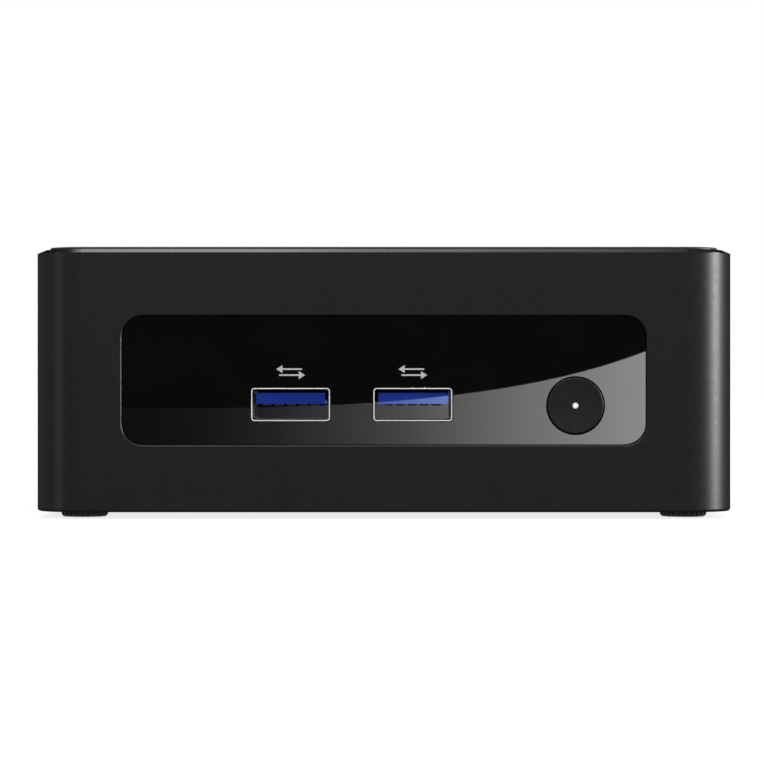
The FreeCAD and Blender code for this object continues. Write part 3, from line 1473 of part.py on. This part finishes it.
def rear_usb():
    """Two USB sockets in one shell, each with its own tongue."""
    body = rear_block("rear_usb_stack", "stack_x", "usb_width", "stack_height", "stack_depth")
    inserts = []

    def mouths(sketch):
        for deck in (0, 1):
            draw_rounded(sketch, "(usb_width - 2 * usb_sheet)", "(usb_height - 2 * usb_sheet)",
                         "(usb_corner - usb_sheet)", "0", f"({STACK_FIRST} + {deck} * stack_pitch)")

    rear_mouth(body, mouths, "stack_depth - usb_sheet")
    for deck in (0, 1):
        level = f"({BOARD_TOP} + usb_proud + {STACK_FIRST} + {deck} * stack_pitch)"
        inserts.append(usb_insert("stack_x", level, REAR_OUT, "stack_depth", turned=True))
    group(inserts, "rear_usb_inserts")


def lan_socket():
    """The network socket: a moulded block with a stepped opening and eight sprung contacts."""
    body = rear_block("lan_socket", "lan_x", "lan_width", "lan_height", "lan_depth")

    def opening(sketch):
        draw_rectangle(sketch, "lan_opening_width", "lan_opening_height", "0",
                       "(lan_opening_rise + lan_opening_height / 2)")

    def latch(sketch):
        draw_rectangle(sketch, "lan_latch_width", "(2 * lan_latch_height)", "0",
                       "(lan_opening_rise + lan_opening_height)")

    rear_mouth(body, opening, "lan_opening_depth")
    rear_mouth(body, latch, "lan_latch_depth")
    base = f"({BOARD_TOP} + usb_proud + lan_opening_rise)"
    size = "lan_contact_width", "lan_contact_length", "lan_contact_height"
    middle_y = f"({REAR_OUT} - lan_opening_depth + lan_contact_length / 2)"
    places = [f"(lan_x + {step - 3.5} * lan_contact_pitch)" for step in range(8)]
    group([box((x, middle_y, base), size) for x in places], "lan_contacts")


def hdmi_mouth(sketch):
    """The tapered outline inside a display socket's shell."""
    half, low, high = "(hdmi_width / 2 - hdmi_sheet)", "hdmi_sheet", "(hdmi_height - hdmi_sheet)"
    narrow, shoulder = f"({half} - hdmi_taper)", "(hdmi_sheet + hdmi_taper)"
    draw_outline(sketch, [(f"-{narrow}", low), (narrow, low), (half, shoulder),
                          (half, high), (f"-{half}", high), (f"-{half}", shoulder)])


def hdmi_insert(x):
    """The moulded block at the back of a display socket, with its tongue."""
    body = doc.addObject("PartDesign::Body", "DisplayInsert")
    place(body, x, "0", f"({BOARD_TOP} + usb_proud)")
    block = sketch_on(body, "XZ", f"(-({REAR_OUT} - hdmi_depth + hdmi_sheet + hdmi_block))")
    hdmi_mouth(block)
    pad(body, block, "hdmi_block")
    tongue = sketch_on(body, "XZ", f"(-({REAR_OUT} - tongue_setback))")
    draw_rectangle(tongue, "hdmi_tongue_width", "hdmi_tongue_thickness", "0", "hdmi_tongue_z")
    pad(body, tongue, "hdmi_depth - hdmi_sheet - tongue_setback")
    return body


def hdmi_sockets():
    """Two display sockets: a tapered steel shell and a moulded insert each."""
    inserts = []
    for side in ("left", "right"):
        shell = rear_block(f"hdmi_{side}", f"hdmi_{side}_x", "hdmi_width", "hdmi_height", "hdmi_depth")
        rear_mouth(shell, hdmi_mouth, "hdmi_depth - hdmi_sheet")
        inserts.append(hdmi_insert(f"hdmi_{side}_x"))
    group(inserts, "hdmi_inserts")


def audio_jack():
    """The headphone socket: a block behind the panel, with a round collar through it and a plain bore."""
    body = new_body("audio_jack", "audio_x", "0", f"({BOARD_TOP} + usb_proud)")
    block = sketch_on(body, "XZ", "(-(body_depth / 2 - wall - rear_flange_thickness - panel_gap))")
    draw_rounded(block, "audio_width", "audio_height", "usb_corner", "0", "(audio_height / 2)")
    pad(body, block, "audio_depth - wall")
    collar = sketch_on(body, "XZ", f"(-{REAR_OUT})")
    draw_circle(collar, "audio_ring", "0", "(audio_height / 2)")
    pad(body, collar, "2 * wall")

    def bore(sketch):
        draw_circle(sketch, "audio_bore", "0", "(audio_height / 2)")

    rear_mouth(body, bore, "audio_depth")


def power_inlet():
    """The round power socket in its block, with its centre pin."""
    body = rear_block("dc_jack", "dc_x", "dc_width", "dc_height", "dc_depth")
    rear_mouth(body, lambda sketch: draw_circle(sketch, "dc_bore", "0", "dc_rise"), "dc_bore_depth")
    start = "dc_x", f"({REAR_OUT} - dc_bore_depth)", f"({BOARD_TOP} + usb_proud + dc_rise)"
    keep(cylinder(start, "dc_pin_radius", "dc_bore_depth - tongue_setback", along="Y"), "dc_pin")


# ---------------------------------------------------------------- build and write


def check_document():
    """Stops if any object failed, or any sub-part is missing or not a valid solid."""
    doc.recompute()
    for item in doc.Objects:
        if "Invalid" in item.State or "Error" in item.State:
            raise RuntimeError(f"{item.Label} is {item.State}")
    for node in nodes:
        if node.Shape.isNull() or not node.Shape.isValid() or not node.Shape.Solids:
            raise RuntimeError(f"{node.Label} has no valid solid")


def write_parts():
    os.makedirs("parts", exist_ok=True)
    for node in nodes:
        node.Shape.exportStep(f"parts/{node.Label}.step")
        box_of = node.Shape.BoundBox
        corners = (box_of.XMin, box_of.YMin, box_of.ZMin, box_of.XMax, box_of.YMax, box_of.ZMax)
        places = " ".join(f"{value:8.2f}" for value in corners)
        print(f"{node.Label:22} {len(node.Shape.Solids):3} {places} {node.Shape.Volume:10.1f}")


def build():
    """Makes every sub-part, from the outside in."""
    for make in (body_shell, top_cover, bottom_cover, feet, cover_screws,
                 front_panel, front_sockets, power_button, button_light_guide, power_switch, power_led,
                 mainboard, board_screws, processor, fan_header,
                 cold_plate, cooler_screws, heat_pipes, fin_stack,
                 blower_housing, blower_cover, blower_rotor, motor, blower_posts, blower_screws,
                 memory, cards, coin_cell, antennas, leads,
                 rear_panel, rear_grille, rear_usb, lan_socket, hdmi_sockets, audio_jack, power_inlet):
        make()


build()
check_document()
write_parts()
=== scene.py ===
import json
import math

import bmesh
import bpy
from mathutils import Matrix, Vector

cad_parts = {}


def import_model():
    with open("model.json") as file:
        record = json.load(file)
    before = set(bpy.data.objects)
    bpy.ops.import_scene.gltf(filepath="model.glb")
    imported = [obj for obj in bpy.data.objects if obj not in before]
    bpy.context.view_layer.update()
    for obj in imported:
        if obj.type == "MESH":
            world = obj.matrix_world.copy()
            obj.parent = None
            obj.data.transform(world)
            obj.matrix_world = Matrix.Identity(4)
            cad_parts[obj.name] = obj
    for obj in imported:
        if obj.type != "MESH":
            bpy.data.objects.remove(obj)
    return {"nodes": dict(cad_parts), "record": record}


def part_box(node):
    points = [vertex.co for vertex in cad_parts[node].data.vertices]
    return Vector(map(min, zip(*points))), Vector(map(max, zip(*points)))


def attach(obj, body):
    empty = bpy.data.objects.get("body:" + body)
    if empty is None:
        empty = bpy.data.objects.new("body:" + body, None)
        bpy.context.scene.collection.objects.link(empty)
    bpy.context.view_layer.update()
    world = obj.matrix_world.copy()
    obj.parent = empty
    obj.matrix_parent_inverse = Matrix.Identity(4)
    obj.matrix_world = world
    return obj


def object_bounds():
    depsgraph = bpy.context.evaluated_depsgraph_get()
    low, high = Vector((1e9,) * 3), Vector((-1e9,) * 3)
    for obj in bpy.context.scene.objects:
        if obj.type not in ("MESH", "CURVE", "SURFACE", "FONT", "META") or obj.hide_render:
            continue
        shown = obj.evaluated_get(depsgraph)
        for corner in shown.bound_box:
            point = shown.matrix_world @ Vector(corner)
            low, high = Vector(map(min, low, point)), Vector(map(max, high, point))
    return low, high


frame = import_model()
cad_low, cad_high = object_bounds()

# A mini PC on a pale studio floor. Everything is in metres, in the frame of the CAD model:
# the front with the power button faces -Y and the feet stand on z = 0.

MM = 0.001
nodes = frame["nodes"]
slots = {part["node"]: part["material_slot"] for part in frame["record"]["subparts"]}


# ---------------------------------------------------------------- materials


WHITE = (1.0, 1.0, 1.0)
CHARCOAL = (0.0086, 0.0086, 0.0088)
BLACK = (0.008, 0.008, 0.0083)
COPPER = (0.70, 0.33, 0.20)
GOLD = (0.83, 0.58, 0.22)
STEEL = (0.60, 0.59, 0.57)
NOISE_LOW, NOISE_HIGH = 0.3, 0.7  # most values of a noise texture lie between these


class Shader:
    """A node material under construction, with one Principled shader."""

    def __init__(self, name):
        self.material = bpy.data.materials.new(name)
        self.material.use_nodes = True
        self.tree = self.material.node_tree
        self.tree.nodes.clear()
        self.output = self.tree.nodes.new("ShaderNodeOutputMaterial")
        self.shader = self.tree.nodes.new("ShaderNodeBsdfPrincipled")
        self.tree.links.new(self.shader.outputs["BSDF"], self.output.inputs["Surface"])
        self.coordinates = self.tree.nodes.new("ShaderNodeTexCoord").outputs["Object"]

    def node(self, kind, inputs=None, **settings):
        """A node with its settings and its inputs, each a value or another node's output."""
        made = self.tree.nodes.new(kind)
        for key, value in settings.items():
            setattr(made, key, value)
        for key, value in (inputs or {}).items():
            self.fill(made.inputs[key], value)
        return made

    def set(self, **values):
        """Fills inputs of the shader, named with _ for a space."""
        for key, value in values.items():
            self.fill(self.shader.inputs[key.replace("_", " ")], value)

    def fill(self, socket, value):
        """Links an input to another node's output, or gives it a value."""
        if isinstance(value, bpy.types.NodeSocket):
            self.tree.links.new(value, socket)
        else:
            socket.default_value = value

    def noise(self, size, detail=3.0, stretch=(1, 1, 1)):
        """Noise whose features are about size metres across."""
        mapping = self.node("ShaderNodeMapping", {"Vector": self.coordinates, "Scale": stretch})
        texture = self.node("ShaderNodeTexNoise", {"Vector": mapping.outputs["Vector"], "Scale": 1 / size,
                                                   "Detail": detail, "Roughness": 0.55})
        return texture.outputs["Fac"]

    def spread(self, noise, low, high):
        """Takes noise to a range."""
        mapped = self.node("ShaderNodeMapRange", {"Value": noise, "From Min": NOISE_LOW,
                                                  "From Max": NOISE_HIGH, "To Min": low, "To Max": high})
        return mapped.outputs["Result"]

    def tint(self, noise, dark, light):
        """Takes noise to colours from dark to light."""
        ramp = self.node("ShaderNodeValToRGB", {"Fac": noise})
        for stop, place, colour in zip(ramp.color_ramp.elements, (NOISE_LOW, NOISE_HIGH), (dark, light)):
            stop.position, stop.color = place, (*colour, 1)
        return ramp.outputs["Color"]

    def bump(self, *layers):
        """Stacks bumps of (height, strength, distance in metres)."""
        normal = None
        for height, strength, distance in layers:
            inputs = {"Height": height, "Strength": strength, "Distance": distance}
            if normal:
                inputs["Normal"] = normal
            normal = self.node("ShaderNodeBump", inputs).outputs["Normal"]
        return normal


def shades(colour, spread):
    """A darker and a lighter version of a colour."""
    return [tuple(channel * factor for channel in colour) for factor in (1 - spread, 1 + spread)]


def textured(name, colour, roughness, *, grain, relief, spread=0.1, uneven=0.05):
    """A solid material with cloudy colour, uneven gloss and a fine moulded or sprayed grain."""
    made = Shader(name)
    cloud = made.noise(9 * MM, detail=4)
    fine = made.noise(grain, detail=2)
    made.set(Base_Color=made.tint(cloud, *shades(colour, spread)),
             Roughness=made.spread(made.noise(2.5 * MM), roughness - uneven, roughness + uneven),
             Normal=made.bump((fine, 0.35, relief), (cloud, 0.15, 4 * relief)))
    return made.material


def shell_paint():
    """Charcoal powder paint with a satin sheen and a fine orange peel, smoother on the rim's chamfer."""
    made = Shader("shell_paint")
    grain, peel, cloud = made.noise(0.16 * MM, 2), made.noise(0.9 * MM, 2), made.noise(14 * MM, 4)
    chamfer_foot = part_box("body_shell")[1].z - 0.6 * MM
    height = made.node("ShaderNodeSeparateXYZ", {"Vector": made.coordinates}).outputs["Z"]
    polish = made.node("ShaderNodeMapRange", {"Value": height, "From Min": chamfer_foot - 0.1 * MM,
                                              "From Max": chamfer_foot, "To Min": 1.0, "To Max": 0.5})
    roughness = made.node("ShaderNodeMath", {0: made.spread(peel, 0.36, 0.42), 1: polish.outputs["Result"]},
                          operation="MULTIPLY")
    made.set(Base_Color=made.tint(cloud, *shades(CHARCOAL, 0.06)),
             Roughness=roughness.outputs["Value"], IOR=1.5,
             Normal=made.bump((peel, 0.05, 0.01 * MM), (grain, 0.12, 0.004 * MM)))
    return made.material


def gloss_black():
    """Polished black panel: near mirror, with faint haze and hairline polishing marks."""
    made = Shader("gloss_black")
    haze, marks = made.noise(11 * MM, 3), made.noise(0.5 * MM, 2, stretch=(0.03, 1, 1))
    made.set(Base_Color=made.tint(haze, (0.0020, 0.0020, 0.0020), (0.0026, 0.0026, 0.0026)),
             Roughness=made.spread(haze, 0.004, 0.010), IOR=1.5,
             Normal=made.bump((marks, 0.02, 0.001 * MM)))
    return made.material


def brushed(name, colour, roughness, direction):
    """Rolled or brushed metal with long marks along a direction."""
    made = Shader(name)
    stretch = tuple(0.04 if axis == direction else 1 for axis in "XYZ")
    marks = made.noise(0.12 * MM, 3, stretch=stretch)
    cloud = made.noise(4 * MM)
    made.set(Base_Color=made.tint(cloud, *shades(colour, 0.06)), Metallic=1.0,
             Roughness=made.spread(marks, roughness - 0.07, roughness + 0.07),
             Normal=made.bump((marks, 0.12, 0.003 * MM)))
    return made.material


def rubber():
    """Black rubber, a little dusty."""
    made = Shader("rubber")
    dust, grain = made.noise(3 * MM, 4), made.noise(0.18 * MM, 2)
    made.set(Base_Color=made.tint(dust, (0.007, 0.007, 0.007), (0.014, 0.014, 0.0135)),
             Roughness=made.spread(dust, 0.66, 0.8), Sheen_Weight=0.15, Sheen_Roughness=0.5,
             Normal=made.bump((grain, 0.3, 0.01 * MM)))
    return made.material


def circuit_board(name, colour):
    """Solder mask over copper tracks: fine straight lines, about a millimetre apart, that catch the light."""
    made = Shader(name)
    tracks = made.node("ShaderNodeTexBrick", {"Vector": made.coordinates, "Scale": 260.0,
                                              "Mortar Size": 0.018, "Mortar": (1, 1, 1, 1),
                                              "Color1": (0, 0, 0, 1), "Color2": (0.25, 0.25, 0.25, 1)})
    over_copper = [channel * 2.1 for channel in colour]
    mask = made.node("ShaderNodeMix", {"Factor": tracks.outputs["Fac"], "A": (*colour, 1),
                                       "B": (*over_copper, 1)}, data_type="RGBA")
    made.set(Base_Color=mask.outputs["Result"], Roughness=made.spread(made.noise(2 * MM), 0.26, 0.36),
             Normal=made.bump((tracks.outputs["Color"], 0.25, 0.01 * MM)))
    return made.material


def blue_plastic(name, colour, ior, gloss_tint):
    """Polished blue moulding, with its gloss tinted or neutral."""
    made = Shader(name)
    cloud = made.noise(6 * MM, 3)
    made.set(Base_Color=made.tint(cloud, *shades(colour, 0.08)),
             Roughness=made.spread(cloud, 0.004, 0.010), IOR=ior, Specular_Tint=(*gloss_tint, 1.0),
             Normal=made.bump((cloud, 0.02, 0.001 * MM)))
    return made.material


def light_guide():
    """A clear rod that carries a white light to the button's face, brightest along its middle."""
    made = Shader("light_guide")
    low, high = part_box("button_light_guide")
    middle = (low + high) / 2
    across = made.node("ShaderNodeMapping", {"Vector": made.coordinates, "Scale": (1, 0, 1),
                                             "Location": (-middle.x, 0, -middle.z)})
    off_axis = made.node("ShaderNodeVectorMath", {0: across.outputs["Vector"]}, operation="LENGTH")
    glow = made.node("ShaderNodeMapRange", {"Value": off_axis.outputs["Value"], "From Min": 0.0,
                                            "From Max": 0.5 * MM, "To Min": 0.72, "To Max": 0.08})
    tint = made.tint(made.noise(0.3 * MM), (0.30, 0.31, 0.33), (0.36, 0.36, 0.36))
    made.set(Base_Color=tint, Roughness=made.spread(made.noise(0.2 * MM), 0.2, 0.35), IOR=1.49,
             Emission_Color=(*WHITE, 1), Emission_Strength=glow.outputs["Result"])
    return made.material


def led():
    """The lens of a small white light, evenly lit."""
    made = Shader("led_lens")
    glow = made.tint(made.noise(0.3 * MM), (0.86, 0.92, 1.0), WHITE)
    made.set(Base_Color=glow, Roughness=made.spread(made.noise(0.2 * MM), 0.2, 0.35), Emission_Color=glow,
             Emission_Strength=1.2)
    return made.material


def print_ink():
    """Pale grey pad-printed ink, a little uneven."""
    made = Shader("print_ink")
    specks = made.noise(0.12 * MM, 2)
    made.set(Base_Color=made.tint(specks, (0.27, 0.27, 0.275), (0.36, 0.36, 0.365)),
             Roughness=made.spread(specks, 0.5, 0.65), Normal=made.bump((specks, 0.1, 0.002 * MM)))
    return made.material


def make_materials():
    """One material for each of the record's slots."""
    plastic = {"grain": 0.2 * MM, "relief": 0.008 * MM}
    return {
        "shell": shell_paint(),
        "lid": textured("lid_plastic", (0.018, 0.018, 0.019), 0.46, grain=0.22 * MM, relief=0.012 * MM,
                        spread=0.05, uneven=0.025),
        "base": textured("base_powder_coat", (0.012, 0.012, 0.0125), 0.55, grain=0.3 * MM, relief=0.02 * MM),
        "gloss_panel": gloss_black(),
        "rear_plastic": textured("rear_plastic", (0.011, 0.011, 0.0115), 0.45, **plastic),
        "rubber": rubber(),
        "dark_screw": brushed("black_oxide", (0.09, 0.09, 0.092), 0.38, "Z"),
        "steel": brushed("bright_steel", STEEL, 0.3, "Z"),
        "socket_steel": brushed("nickel_plate", (0.74, 0.74, 0.74), 0.34, "Y"),
        "blue_plastic": blue_plastic("blue_plastic", (0.0085, 0.025, 0.18), 2.2, (0.38, 0.56, 1.0)),
        "black_plastic": textured("black_plastic", BLACK, 0.42, **plastic),
        "gold": brushed("gold_plate", GOLD, 0.25, "Y"),
        "button": textured("button_plastic", (0.0084, 0.0084, 0.0086), 0.42, grain=0.15 * MM,
                           relief=0.006 * MM, spread=0.05),
        "light": light_guide(),
        "led": led(),
        "circuit_board": circuit_board("solder_mask", (0.006, 0.030, 0.016)),
        "chip": textured("chip_epoxy", (0.014, 0.014, 0.0145), 0.5, **plastic),
        "copper": brushed("copper", COPPER, 0.3, "Y"),
        "aluminium": brushed("aluminium", (0.72, 0.72, 0.73), 0.3, "Z"),
        "fan_plastic": textured("fan_nylon", (0.010, 0.010, 0.010), 0.5, **plastic),
        "magnet": textured("ferrite", (0.05, 0.05, 0.052), 0.6, **plastic),
        "film": textured("antenna_film", (0.05, 0.026, 0.010), 0.22, **plastic),
        "lead": textured("lead_sheath", (0.010, 0.010, 0.010), 0.45, **plastic),
    }


def dress_cad(materials):
    """Gives every CAD node the material of its slot."""
    for name, node in nodes.items():
        node.data.materials.clear()
        node.data.materials.append(materials[slots[name]])


# ---------------------------------------------------------------- marks and socket backs


def prism(bm, outline, y_front, y_back):
    """A thin slab that faces -Y, with the outline's corners in XZ."""
    front = [bm.verts.new((x, y_front, z)) for x, z in outline]
    back = [bm.verts.new((x, y_back, z)) for x, z in outline]
    bm.faces.new(front)
    bm.faces.new(list(reversed(back)))
    for index, corner in enumerate(front):
        following = (index + 1) % len(front)
        bm.faces.new((corner, back[index], back[following], front[following]))


def mesh_object(name, bm, material, body):
    """Finishes a mesh, puts it in the scene and makes it ride on a CAD body."""
    bmesh.ops.recalc_face_normals(bm, faces=bm.faces)
    mesh = bpy.data.meshes.new(name)
    bm.to_mesh(mesh)
    bm.free()
    mesh.materials.append(material)
    made = bpy.data.objects.new(name, mesh)
    bpy.context.scene.collection.objects.link(made)
    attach(made, body)
    return made


def arrow(centre_x, centre_z, direction):
    """Corners of a plain arrow that points to +X or -X."""
    length, head, barb, half_width = 4.3 * MM, 1.05 * MM, 0.651 * MM, 0.13 * MM
    tip, tail = direction * length / 2, -direction * length / 2
    neck = tip - direction * head
    points = [(tail, -half_width), (neck, -half_width), (neck, -barb), (tip, 0),
              (neck, barb), (neck, half_width), (tail, half_width)]
    return [(centre_x + x, centre_z + z) for x, z in points]


def data_mark(name, socket, material):
    """Two opposed arrows above a front socket, which mean that data goes both ways."""
    low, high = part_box(socket)
    panel_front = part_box("front_panel")[0].y
    ink_front, ink_back = panel_front - 0.02 * MM, panel_front - 0.001 * MM
    height, rise, shift = 2.65 * MM, 0.5 * MM, 0.25 * MM
    middle_x, middle_z = (low.x + high.x) / 2, high.z + height
    bm = bmesh.new()
    for side in (-1, 1):
        prism(bm, arrow(middle_x - side * shift, middle_z + side * rise, -side), ink_front, ink_back)
    mesh_object(name, bm, material, "case")


def socket_back(name, socket, material):
    """A dark plate with cut corners under a front socket's tongue, just in front of the insert's block:
    painted shade at the back of the socket, a darker copy of the blue plastic that also mirrors the light
    card.
    """
    low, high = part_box(socket)
    insert = nodes["front_usb_inserts"]
    corners = [insert.matrix_world @ vertex.co for vertex in insert.data.vertices]
    corners = [corner for corner in corners if low.x < corner.x < high.x]
    tongue_reach, slack, cut = 4 * MM, 0.2 * MM, 0.3 * MM
    underside = min(corner.z for corner in corners if corner.y < low.y + tongue_reach)
    block = [corner for corner in corners if corner.z < underside - slack]
    left, right = min(corner.x for corner in block), max(corner.x for corner in block)
    bottom, top = min(corner.z for corner in block), underside - 0.02 * MM
    face = min(corner.y for corner in block)
    outline = [(left + cut, bottom), (right - cut, bottom), (right, bottom + cut), (right, top), (left, top),
               (left, bottom + cut)]
    bm = bmesh.new()
    prism(bm, outline, face - 0.06 * MM, face - 0.01 * MM)
    return mesh_object(name, bm, material, "case")


# ---------------------------------------------------------------- studio


MIDDLE = (0, 0, 0.022)  # of the body, where most lights aim


def plane_object(name, corners, material):
    """A flat polygon that belongs to the studio, not to the object."""
    mesh = bpy.data.meshes.new(name)
    mesh.from_pydata(corners, [], [tuple(range(len(corners)))])
    mesh.materials.append(material)
    made = bpy.data.objects.new(name, mesh)
    bpy.context.scene.collection.objects.link(made)
    return made


def floor():
    """A pale floor with faint contact shadows, seen from above only, and not mirrored in the glossy panel."""
    made = Shader("studio_floor")
    cloud = made.noise(0.2, 3)
    made.set(Base_Color=made.tint(cloud, (0.24, 0.24, 0.24), (0.25, 0.25, 0.25)), Roughness=0.9,
             Specular_IOR_Level=0.0, Emission_Color=(*WHITE, 1), Emission_Strength=0.8)
    clear = made.node("ShaderNodeBsdfTransparent")
    mixed = made.node("ShaderNodeMixShader", {0: made.node("ShaderNodeNewGeometry").outputs["Backfacing"],
                                              1: made.shader.outputs["BSDF"], 2: clear.outputs["BSDF"]})
    made.tree.links.new(mixed.outputs["Shader"], made.output.inputs["Surface"])
    reach = 4.0
    corners = [(-reach, -reach, 0), (reach, -reach, 0), (reach, reach, 0), (-reach, reach, 0)]
    ground = plane_object("floor", corners, made.material)
    ground.visible_glossy = False
    ground.visible_diffuse = False


def lit_only(light, receivers):
    """Keeps a light from everything but some objects."""
    light.light_linking.receiver_collection = bpy.data.collections.new(f"{light.name}_reach")
    for receiver in receivers:
        light.light_linking.receiver_collection.objects.link(receiver)


def card_glow(left, right):
    """Light that grows from one place along X to another, slowly at first."""
    made = Shader("light_card")
    x = made.node("ShaderNodeSeparateXYZ", {"Vector": made.coordinates}).outputs["X"]
    across = made.node("ShaderNodeMapRange", {"Value": x, "From Min": left, "From Max": right})
    ramp = made.node("ShaderNodeValToRGB", {"Fac": across.outputs["Result"]})
    stops = [(0.0, 0.0015), (0.07, 0.0024), (0.2, 0.0060), (0.31, 0.0149), (0.43, 0.0336), (0.54, 0.0585),
             (0.65, 0.106), (0.75, 0.153), (0.81, 0.178), (0.95, 0.248), (1.0, 0.262)]
    elements = ramp.color_ramp.elements
    for index, (place, level) in enumerate(stops):
        stop = elements[index] if index < 2 else elements.new(place)
        stop.position, stop.color = place, (level, level, level, 1)
    glow = made.node("ShaderNodeEmission", {"Color": ramp.outputs["Color"], "Strength": 24.0})
    made.tree.links.new(glow.outputs["Emission"], made.output.inputs["Surface"])
    made.tree.nodes.remove(made.shader)
    return made.material


def reflection_card(eye, mirrors):
    """A light card behind the camera with a swept top edge, seen only as a reflection in some objects."""
    panel_low, panel_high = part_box("front_panel")
    left, right, face = panel_low.x, panel_high.x, panel_low.y
    behind, bottom, steps = 0.9, -30 * MM, 48
    grow = 1 + behind / (face - eye.y)

    def top_edge(x):
        """Height on the panel where the reflection ends, which rises in a sweep to the right."""
        level_part, level, sweep, hook = 0.2, 18.48 * MM, 6.95 * MM, 3.35 * MM
        along = max(0.0, (x - left) / (right - left) - level_part) / (1 - level_part)
        return level + sweep * along**2 + hook * along**5

    def on_card(x, z):
        """The card's point that the eye sees mirrored at a point of the panel."""
        return (eye.x + (x - eye.x) * grow, face - behind, eye.z + (z - eye.z) * grow)

    xs = [left + (right - left) * step / steps for step in range(steps + 1)]
    corners = [on_card(left, bottom), on_card(right, bottom)]
    corners += [on_card(x, top_edge(x)) for x in reversed(xs)]
    glow = card_glow(on_card(left, bottom)[0], on_card(right, bottom)[0])
    card = plane_object("light_card", corners, glow)
    for kind in ("visible_camera", "visible_diffuse", "visible_transmission", "visible_shadow"):
        setattr(card, kind, False)
    lit_only(card, mirrors)


def area_light(name, at, size, power, aim=MIDDLE, only=None):
    """A soft rectangular light at a point, aimed at another, which may reach only some nodes."""
    light = bpy.data.lights.new(name, "AREA")
    light.shape = "RECTANGLE"
    light.size, light.size_y = size
    light.energy = power
    made = bpy.data.objects.new(name, light)
    bpy.context.scene.collection.objects.link(made)
    made.location = at
    made.rotation_euler = (Vector(aim) - Vector(at)).to_track_quat("-Z", "Y").to_euler()
    made.visible_camera = False
    if only:
        lit_only(made, only)


def chamfer_lights(shell):
    """Soft boxes side by side behind and above, dimmer to the right, which the front chamfer mirrors."""
    y, z, depth = 0.66, 0.75, 0.26
    boxes = (("left", -0.185, -0.03, 5.8), ("middle", -0.03, 0.06, 3.0), ("right", 0.06, 0.14, 1.6))
    for side, left, right, brightness in boxes:
        x, width = (left + right) / 2, right - left
        area_light(f"chamfer_{side}", at=(x, y, z), size=(width, depth), power=brightness * width * depth,
                   aim=(x, -0.05, 0.04), only=shell)


def in_slots(*names):
    """The CAD nodes of some material slots."""
    return [node for name, node in nodes.items() if slots[name] in names]


def lights():
    """Soft studio lights. The shell, the bright metal and the underside also have lights of their own."""
    shell = [nodes["body_shell"]]
    others = [node for name, node in nodes.items() if name != "body_shell"]
    area_light("right_strip", at=(0.64, -0.145, 0.15), size=(0.21, 0.34), power=4.75)
    area_light("left_strip", at=(-0.60, -0.34, 0.10), size=(0.14, 0.6), power=0.28)
    area_light("left_rim", at=(-0.62, 0.25, 0.10), size=(0.8, 0.6), power=0.19)
    area_light("front_fill", at=(-0.15, -0.75, 0.62), size=(0.7, 0.4), power=3.5)
    area_light("overhead", at=(-0.31, 0.45, 0.75), size=(0.67, 0.4), power=3.05, aim=(-0.31, -0.05, 0.0),
               only=others)
    area_light("rear_fill", at=(0.25, 0.95, 0.16), size=(0.8, 0.3), power=5.0, only=others)
    area_light("shell_top", at=(0, 0.1, 0.8), size=(1.1, 0.45), power=4.0, only=shell)
    area_light("shell_rear", at=(0, 0.95, 0.16), size=(0.22, 0.3), power=3.5, only=shell)
    chamfer_lights(shell)
    metal, underside = in_slots("socket_steel", "steel"), in_slots("base", "rubber", "dark_screw")
    area_light("front_metal", at=(0, -1.0, 0.25), size=(0.7, 0.5), power=2.3, only=metal)
    area_light("rear_metal", at=(0, 1.0, 0.25), size=(0.7, 0.5), power=2.6, only=metal)
    area_light("under_fill", at=(-0.3, -0.3, -0.6), size=(0.6, 0.6), power=4.0, only=underside)


def world():
    """Even pale light from all round, which isn't mirrored in glossy surfaces."""
    made = bpy.data.worlds.new("studio")
    made.use_nodes = True
    background = made.node_tree.nodes["Background"]
    background.inputs["Color"].default_value = (*WHITE, 1)
    background.inputs["Strength"].default_value = 1.0
    made.cycles_visibility.glossy = False
    bpy.context.scene.world = made


def camera():
    """Level and square to the front, half a metre away, with a small margin round the object."""
    sideways, height, distance, view_width = -0.33 * MM, 22.8 * MM, 500 * MM, 127.12 * MM
    data = bpy.data.cameras.new("camera")
    data.sensor_width = 36.0
    data.lens = distance / view_width * data.sensor_width
    data.clip_start = 10 * MM
    made = bpy.data.objects.new("camera", data)
    bpy.context.scene.collection.objects.link(made)
    made.location = (sideways, cad_low.y - distance, height)
    made.rotation_euler = (math.pi / 2, 0, 0)
    bpy.context.scene.camera = made
    return made


# ---------------------------------------------------------------- scene


eye = camera().location
bpy.context.scene.view_settings.view_transform = "Standard"
dress_cad(make_materials())
ink = print_ink()
data_mark("data_mark_left", "front_usb_left", ink)
data_mark("data_mark_right", "front_usb_right", ink)
# The socket backs are painted shade: a darker blue than the tongue's, with a neutral gloss that mirrors the
# light card.
painted_shade_blue = blue_plastic("socket_back", (0.003, 0.008, 0.05), 1.58, WHITE)
mirrors = [nodes["front_panel"], nodes["front_usb_inserts"],
           socket_back("socket_back_left", "front_usb_left", painted_shade_blue),
           socket_back("socket_back_right", "front_usb_right", painted_shade_blue)]
world()
lights()
floor()
reflection_card(eye, mirrors)

bpy.context.view_layer.update()
